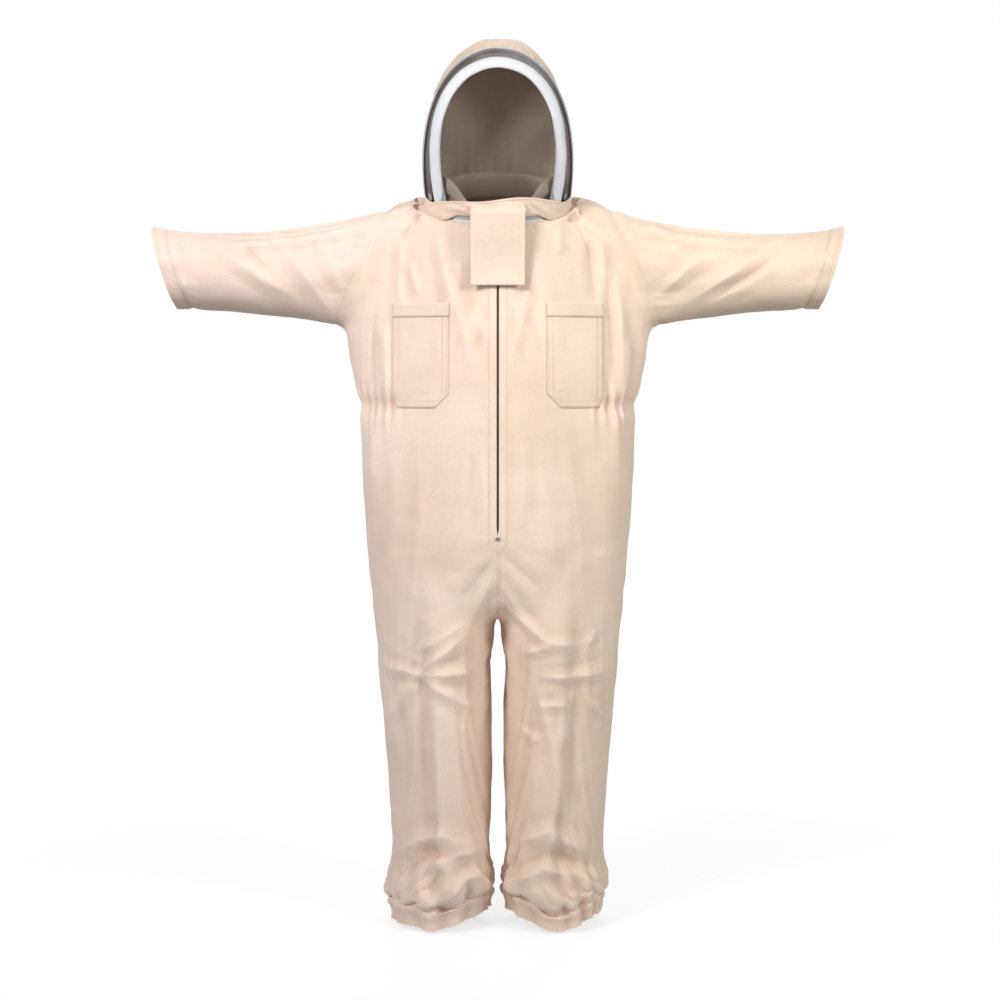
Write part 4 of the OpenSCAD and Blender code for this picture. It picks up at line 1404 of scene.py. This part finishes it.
def dome_points(rows, cols):
    """The cloth back of the hood, pulled into tucks along the rear hoop and sagging towards the neck."""
    v = np.linspace(0.012, 1, rows)[:, None, None]
    s = np.linspace(1.5, 178.5, cols)
    low = ring_at(REAR_FOOT * -np.cos(np.radians(s)) + s, HOOD_RISE, 0.0)
    grid = (1 - v) * REAR_HOOP.at(s) + v * low + 4 * v * (1 - v) * np.sin(np.radians(s))[:, None] * DOME_BULGE
    share, arch = np.linspace(0, 1, rows)[:, None], np.linspace(0, 1, cols)[None, :]
    tuck = np.sin(arch * 150 + 3 * np.sin(arch * 17)) * np.sin(arch * 61 + 1) * np.exp(-share / 0.10)
    sag = np.sin(share * 26 + 2.2 * np.sin(arch * 7) + 1.2 * grid_waves(grid, 0.16, 71))
    sag = sag * ramp(share, 0.03, 0.16) * ramp(1 - share, 0.02, 0.2)
    base_pleats = np.sin(arch * 95 + 2 * np.sin(arch * 11)) * np.exp(-(1 - share) / 0.09)
    push = 0.0034 * tuck + 0.0048 * sag * (0.5 + 0.5 * grid_waves(grid, 0.2, 72)) + 0.0024 * base_pleats
    push = push + 0.0022 * grid_waves(grid, 0.05, 73)
    fixed = ramp(share, 0.0, 0.02) * ramp(1 - share, 0.0, 0.02)
    return grid + ((push - 0.002) * fixed)[..., None] * unit(grid - np.array([0, 0.01, 0.12]))


def skirt_ring(s, rise, grow):
    """Points round the front of the neck circle, with 0 at the hoop's left foot and 180 at its right one."""
    return ring_at(-FRONT_FOOT - (180 - 2 * FRONT_FOOT) * s / 180, rise, grow)


def skirt_edge(s, grow):
    """The skirt's wavy top edge, in front of the chin."""
    p = skirt_ring(s, 0.013, grow)
    x = p[..., 0]
    p[..., 1] -= 0.003
    p[..., 2] = np.maximum(p[..., 2] + 0.004, -0.003)
    p[..., 2] += 0.006 * np.sin((x - 0.01) * 26) * bump(x, 0, 0.09)
    return p


def make_dome(paint):
    """The hood's cloth back."""
    # The hood's back wears the darker copy of the cotton: painted shade.
    dome = wear(thicken(grid_object("hood_dome", dome_points(110, 150)), 0.0012), paint["dome_shaded_cotton"])
    hand_over(dome, "hood", "cotton_twill", "hood_back",
              flat=(0.50, 0.36), held="hung", area=DOME_AREA, rests_on=["rear_hoop_webbing"])


def make_veils(paint):
    """Mesh in front of the face and over both sides, between the hoops."""
    s = np.linspace(2, 178, 110)
    v = np.linspace(0.02, 0.99, 50)[:, None, None]
    bulge = 4 * v * (1 - v) * np.sin(np.radians(s))[:, None] * VEIL_BULGE
    face = (1 - v) * (FRONT_HOOP.at(s, -0.0155) - (0, 0.0045, 0)) + v * skirt_edge(s, 0.0) + bulge
    face[:, :, 1] += 0.0016 * grid_waves(face, 0.12, 81) * 4 * (v * (1 - v))[..., 0]
    v = np.linspace(0.0, 1.0, 22)[:, None, None]
    sides = (1 - v) * FRONT_HOOP.at(s, 0.001) + v * REAR_HOOP.at(s, 0.001)
    slack = (0.0050 + 0.0022 * grid_waves(sides, 0.07, 82)) * 4 * (v * (1 - v))[..., 0]
    sides = sides - slack[..., None] * unit(sides - np.array([0, -0.06, 0.10]))
    for name, grid, net, node, flat, area in (
            ("face_veil", face, "net", "veil_front", (0.30, 0.32), FACE_AREA),
            ("side_veil", sides, "side_net", "veil_sides", (0.80, 0.12), SIDE_AREA)):
        piece = wear(grid_object(name, grid), paint[net])
        hand_over(piece, "hood", "veil_mesh", node, flat=flat, held="stretched", area=area)


def strip_along(name, path, across, width, arch, thickness, rows=9, ripple=0.0, seed=90):
    """A webbing strip: a path of points with a width direction at each, slightly arched across."""
    across = unit(across)
    out = np.cross(unit(np.gradient(path, axis=0)), across)
    share = np.linspace(-1, 1, rows)[:, None, None]
    grid = path + share * across * width / 2 + arch * (1 - share ** 2) * out
    if ripple:
        grid = grid + (ripple * grid_waves(grid, 0.04, seed))[..., None] * out
    return modify(grid_object(name, grid), "SOLIDIFY", thickness=thickness, offset=0)


def make_hoops(paint):
    """White webbing folded over each hoop, dark binding beside it, and its edge stitching."""
    s = np.linspace(-1.5, 181.5, 170)
    r = np.radians(s)
    radial = np.stack([np.cos(r), np.zeros(len(s)), np.sin(r)], axis=1)
    forward = np.array([0, -1.0, 0])
    for name, hoop, width, face_on, colour_name, node, arch in (
            ("front_hoop_webbing", FRONT_HOOP, 0.0250, 0.84, "white", "front_hoop_band", 0.0040),
            ("rear_hoop_webbing", REAR_HOOP, 0.0150, 0.88, "grey", "rear_hoop_band", 0.0026)):
        path = hoop.at(s) - radial * width * 0.32 * face_on
        across = -radial * face_on + forward * np.sqrt(1 - face_on ** 2)
        band = wear(strip_along(name, path, across, width, arch, 0.0022, ripple=0.0007), paint[colour_name])
        hand_over(band, "hood", "white_webbing", node,
                  flat=(width, 0.85), held="stretched", rests_on=[node.replace("band", "boning")])
        across = unit(across)
        out = np.cross(unit(np.gradient(path, axis=0)), across)
        rows = [path + k * across * width * 0.42 + out * (arch * 0.32 + 0.0013) for k in (-1, 1)]
        sew(name.replace("webbing", "stitching"), rows, paint["white_coil"], "hood", 0.004, 0.0028, 0.0003)
    for name, hoop, place in (("rear_veil_binding", REAR_HOOP, (0, -0.0050, -0.0060)),
                              ("front_veil_binding", FRONT_HOOP, (0, 0.010, -0.001))):
        across = np.array([0, 1.0, 0.0]) - radial * 0.35
        binding = strip_along(name, hoop.at(s, -0.0015) + place, across, 0.010, 0.0008, 0.0012, rows=5)
        wear(binding, paint["dark_tape"])
        hand_over(binding, "hood", "veil_mesh", flat=(0.010, 0.85), held="stretched")
    for node in ("front_hoop_boning", "rear_hoop_boning"):
        wear(NODES[node], paint["steel"])


def make_skirt(paint):
    """The cloth band under the chin, from the neck zip up to the veil, with a lap that carries the flap."""
    s = np.linspace(-58, 238, 190)
    low = skirt_ring(s, 0.0045, 0.0032)
    aside = ramp(np.abs(low[:, 0]), 0.070, 0.100)[:, None]
    low = low - aside * (0.0150 * RING_UP + 0.0020 * np.array([0, 1.0, 0])) \
        + aside * np.sign(low[:, :1]) * (0.0030, 0, 0)
    v = np.linspace(0, 1, 26)[:, None, None]
    grid = (1 - v) * low + v * skirt_edge(s, 0.0030) - 4 * v * (1 - v) * np.array([0, 0.0030, 0])
    share = v[..., 0]
    drag = np.sin(grid[:, :, 0] * 120 + 9 * share + 1.5 * grid_waves(grid, 0.08, 91)) * 0.0012
    roll = 0.0016 * bump(share, 0.93, 0.06)
    creases = 0.0012 * grid_waves(grid, 0.045, 92) * ramp(share, 0, 0.3)
    grid[:, :, 1] -= drag * 4 * share * (1 - share) + roll + creases
    skirt = wear(thicken(grid_object("chin_skirt", grid[:, ::-1]), 0.0012), paint["plain_cotton"])
    hand_over(skirt, "hood", "cotton_twill", "hood_skirt",
              flat=(0.46, 0.055), held="stretched", area=SKIRT_AREA)
    make_lap(grid, paint)
    rows = [grid[k, 2:-2] + (0, -0.0005, 0) for k in (2, 22)]
    sew("skirt_topstitching", rows, paint["thread"], "hood", 0.0038, 0.0027)


def make_lap(skirt_grid, paint):
    """The cloth from the skirt to the flap that hangs from it."""
    top = skirt_grid[16, np.abs(skirt_grid[16, :, 0]) <= FLAP_HALF + 0.001] + (0, -0.0010, 0)
    low = top * (1, 0, 0) + (0, FLAP_Y + 0.0008, FLAP_TOP - LAP_TUCK)
    share = np.linspace(0, 1, 12)[:, None, None]
    grid = (1 - share) * top + share * low - np.sin(np.pi * share) * np.array([0, 0.0015, 0])
    lap = wear(thicken(grid_object("flap_lap", grid), 0.0012), paint["plain_cotton"])
    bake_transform(lap)
    hand_over(lap, None, "cotton_twill", flat=(0.102, 0.020), held="stretched")


def flap_face(z):
    """The flap's outer face: it hangs from the lap and lies back towards the chest."""
    return FLAP_Y + 0.0085 * ramp((FLAP_TOP - z) / (FLAP_TOP - FLAP_LOW), 0.05, 0.75)


def make_flap(paint):
    """The square flap over the zip ends: two layers with a turned edge, stitched all round."""
    z = np.linspace(FLAP_TOP, FLAP_LOW, 60)
    x = np.linspace(-FLAP_HALF, FLAP_HALF, 46)
    across, down = np.meshgrid(x, z)
    flat = np.stack([across, np.zeros_like(across), down], axis=2)
    share = (FLAP_TOP - down) / (FLAP_TOP - FLAP_LOW)
    y = flap_face(down) + 0.0012 * grid_waves(flat, 0.09, 95) * ramp(share, 0.03, 0.35)
    y += 0.0006 * grid_waves(flat, 0.03, 96)
    y -= 0.0022 * ramp(share, 0.75, 1.0) * np.cos(across / FLAP_HALF * 1.3)
    edge = np.minimum.reduce([FLAP_HALF - np.abs(across), down - FLAP_LOW])
    y -= 0.0007 * ramp(-edge, -0.0105, -0.0085)
    narrow = across * (1 - 0.012 * ramp(share, 0.5, 1.0))
    grid = np.stack([narrow, y, down], axis=2)
    flap = wear(thicken(grid_object("zip_cover_flap", grid), 0.0024), paint["plain_cotton"])
    hand_over(flap, "chest_flap", "cotton_twill", "chest_flap",
              flat=(0.100, 0.134), held="hung", rests_on=["chin_skirt"])
    rows = [[*grid[i:-i, i], *grid[-i, i:-i], *grid[-i:i:-1, -i]] for i in (2, 5)] + [grid[4, 3:-3]]
    rows = [np.array(row) + (0, -0.0005, 0) for row in rows]
    sew("flap_topstitching", rows, paint["thread"], "chest_flap", 0.0038, 0.0027)


# ---- Small hidden pieces ----

def make_patch(name, centre, size, depth, paint):
    """A square of hook or loop tape with rounded corners and a soft raised middle."""
    share = np.linspace(-1, 1, 17)
    u, v = np.meshgrid(share, share)
    round_off = 1 - 0.07 * np.abs(u) ** 6 * np.abs(v) ** 6
    height = depth * (1 - np.maximum(np.abs(u), np.abs(v)) ** 10)
    x, z = centre[0] + u * round_off * size / 2, centre[2] - v * round_off * size / 2
    grid = np.stack([x, centre[1] - height, z], axis=2)
    return wear(thicken(grid_object(name, grid), depth * 0.6), paint["hooks"])


def make_patches(paint):
    """The flap's fastening: loop tape on the chest and hook tape behind the flap."""
    for side, s in SIDES:
        x = s * (FLAP_HALF / 2 + 0.004)
        loop = make_patch("loop_tape_" + side, (x, -0.1330, -0.132), 0.028, 0.0018, paint)
        behind_flap = (x, flap_face(-0.1315) + 0.0036, -0.1315)
        hook = make_patch("hook_tape_" + side, behind_flap, 0.026, 0.0012, paint)
        hand_over(loop, "coverall", "hook_and_loop", "loop_patch")
        hand_over(hook, "chest_flap", "hook_and_loop", "hook_patch")


def elastic_band(name, turns, middle, half_x, half_y, height, paint):
    """Knitted elastic with gathered ribs, along these angles of an ellipse whose middle is on the Z axis."""
    path = np.stack([half_x * np.cos(turns), half_y * np.sin(turns), np.full(len(turns), middle)], axis=1)
    rib = 0.0006 * np.sin(np.arange(len(path)) * 1.9)[:, None]
    v = np.linspace(-0.5, 0.5, 7)[:, None, None]
    grid = path + rib * unit(path * (1, 1, 0)) + v * np.array([0, 0, height])
    return wear(thicken(grid_object(name, grid[::-1]), 0.0014), paint["elastic"])


def make_elastics(paint):
    """Elastic inside the back of the waist and round each leg's hem."""
    turns = np.radians(np.linspace(6, 174, 170))
    waist = elastic_band("back_waist_elastic", turns, -0.371, 0.243, 0.123, 0.038, paint)
    hand_over(waist, "coverall", "elastic", "waist_elastic", flat=(0.62, 0.038), held="gathered")
    turns = np.radians(np.linspace(0, 358, 180))
    for side, s in SIDES:
        band = elastic_band("hem_elastic_" + side, turns, HEM_Z + 0.016, 0.082, 0.096, 0.014, paint)
        move_points(band, points_of(band) + (s * 0.108, 0, 0))
        rise_hem(band)
        hand_over(band, "leg_" + side, "elastic", "ankle_elastic_" + side,
                  flat=(0.56, 0.014), held="gathered")


def make_gusset(paint):
    """The diamond of cloth inside the crotch, where the leg seams meet."""
    v = np.linspace(-1, 1, 31)[:, None]
    u = np.linspace(-1, 1, 13)[None, :]
    x = 0.028 * u * (1 - np.abs(v)) + 0.0006 * u
    y = 0.105 * v + 0 * u
    z = CROTCH_Z + 0.010 - 0.006 * (v ** 2) + 0.0008 * np.sin(y * 90 + u * 3)
    grid = np.stack([x, y, z], axis=2)
    gusset = wear(thicken(grid_object("crotch_diamond", grid), 0.0012), paint["plain_cotton"])
    hand_over(gusset, "coverall", "cotton_twill", "crotch_gusset",
              flat=(0.058, 0.212), held="stretched", area=0.0062)


def paint_metal(paint):
    """The metal parts are the CAD's own solids."""
    for name in ("main_zip_end_stops", "main_zip_slider", "main_zip_pull", "neck_zip_slider_right",
                 "neck_zip_pull_right", "neck_zip_slider_left", "neck_zip_pull_left"):
        wear(NODES[name], paint["metal"])


# ---- Floor ----

def make_floor():
    """A pale floor that fades out with distance from the suit."""
    size = 7.0
    paint = Paint("studio_floor")
    place = paint.place()
    far = paint.node("VectorMath", {"operation": "LENGTH"}, in0=place).outputs["Value"]
    paint.put(paint.shader, Base_Color=(0.90, 0.90, 0.90, 1.0), Roughness=0.9, Emission_Color=WHITE,
              Emission_Strength=0.22, Alpha=paint.span(far, 0.35, 1.9, 1.0, 0.0))
    corners = [(x * size, y * size, FLOOR_Z) for x, y in ((-1, -1), (1, -1), (1, 1), (-1, 1))]
    floor = new_object("floor", corners, [(0, 1, 2, 3)])
    wear(floor, paint.material)


# ---- Everything together ----

add_camera()
add_world()
add_softbox("key", (-2.0, -2.7, 1.5), (-0.05, 0, -0.06), (1.1, 1.2), 21.5, 76)
add_softbox("fill", (2.4, -2.2, 0.8), (0, 0, -0.16), (1.1, 1.2), 15, 84)
add_softbox("back_light", (0.3, 2.8, 1.6), (0, 0, -0.3), (2.0, 1.6), 46)
make_floor()
paint = paint_all()

coverall = coverall_base()
drape(coverall, 26)
modify(coverall, "SUBSURF", levels=1, render_levels=1)
shape_cloth(coverall)
cut_lines(coverall)
mark_relief(coverall)
skin = Skin(coverall)
make_panels(coverall, paint)
make_seams(skin, paint)
for side, s in SIDES:
    make_pocket(skin, paint, side, s)
make_main_zip(paint)
make_neck(paint)
make_collar(paint)
make_dome(paint)
make_veils(paint)
make_hoops(paint)
make_skirt(paint)
make_flap(paint)
make_patches(paint)
make_elastics(paint)
make_gusset(paint)
paint_metal(paint)
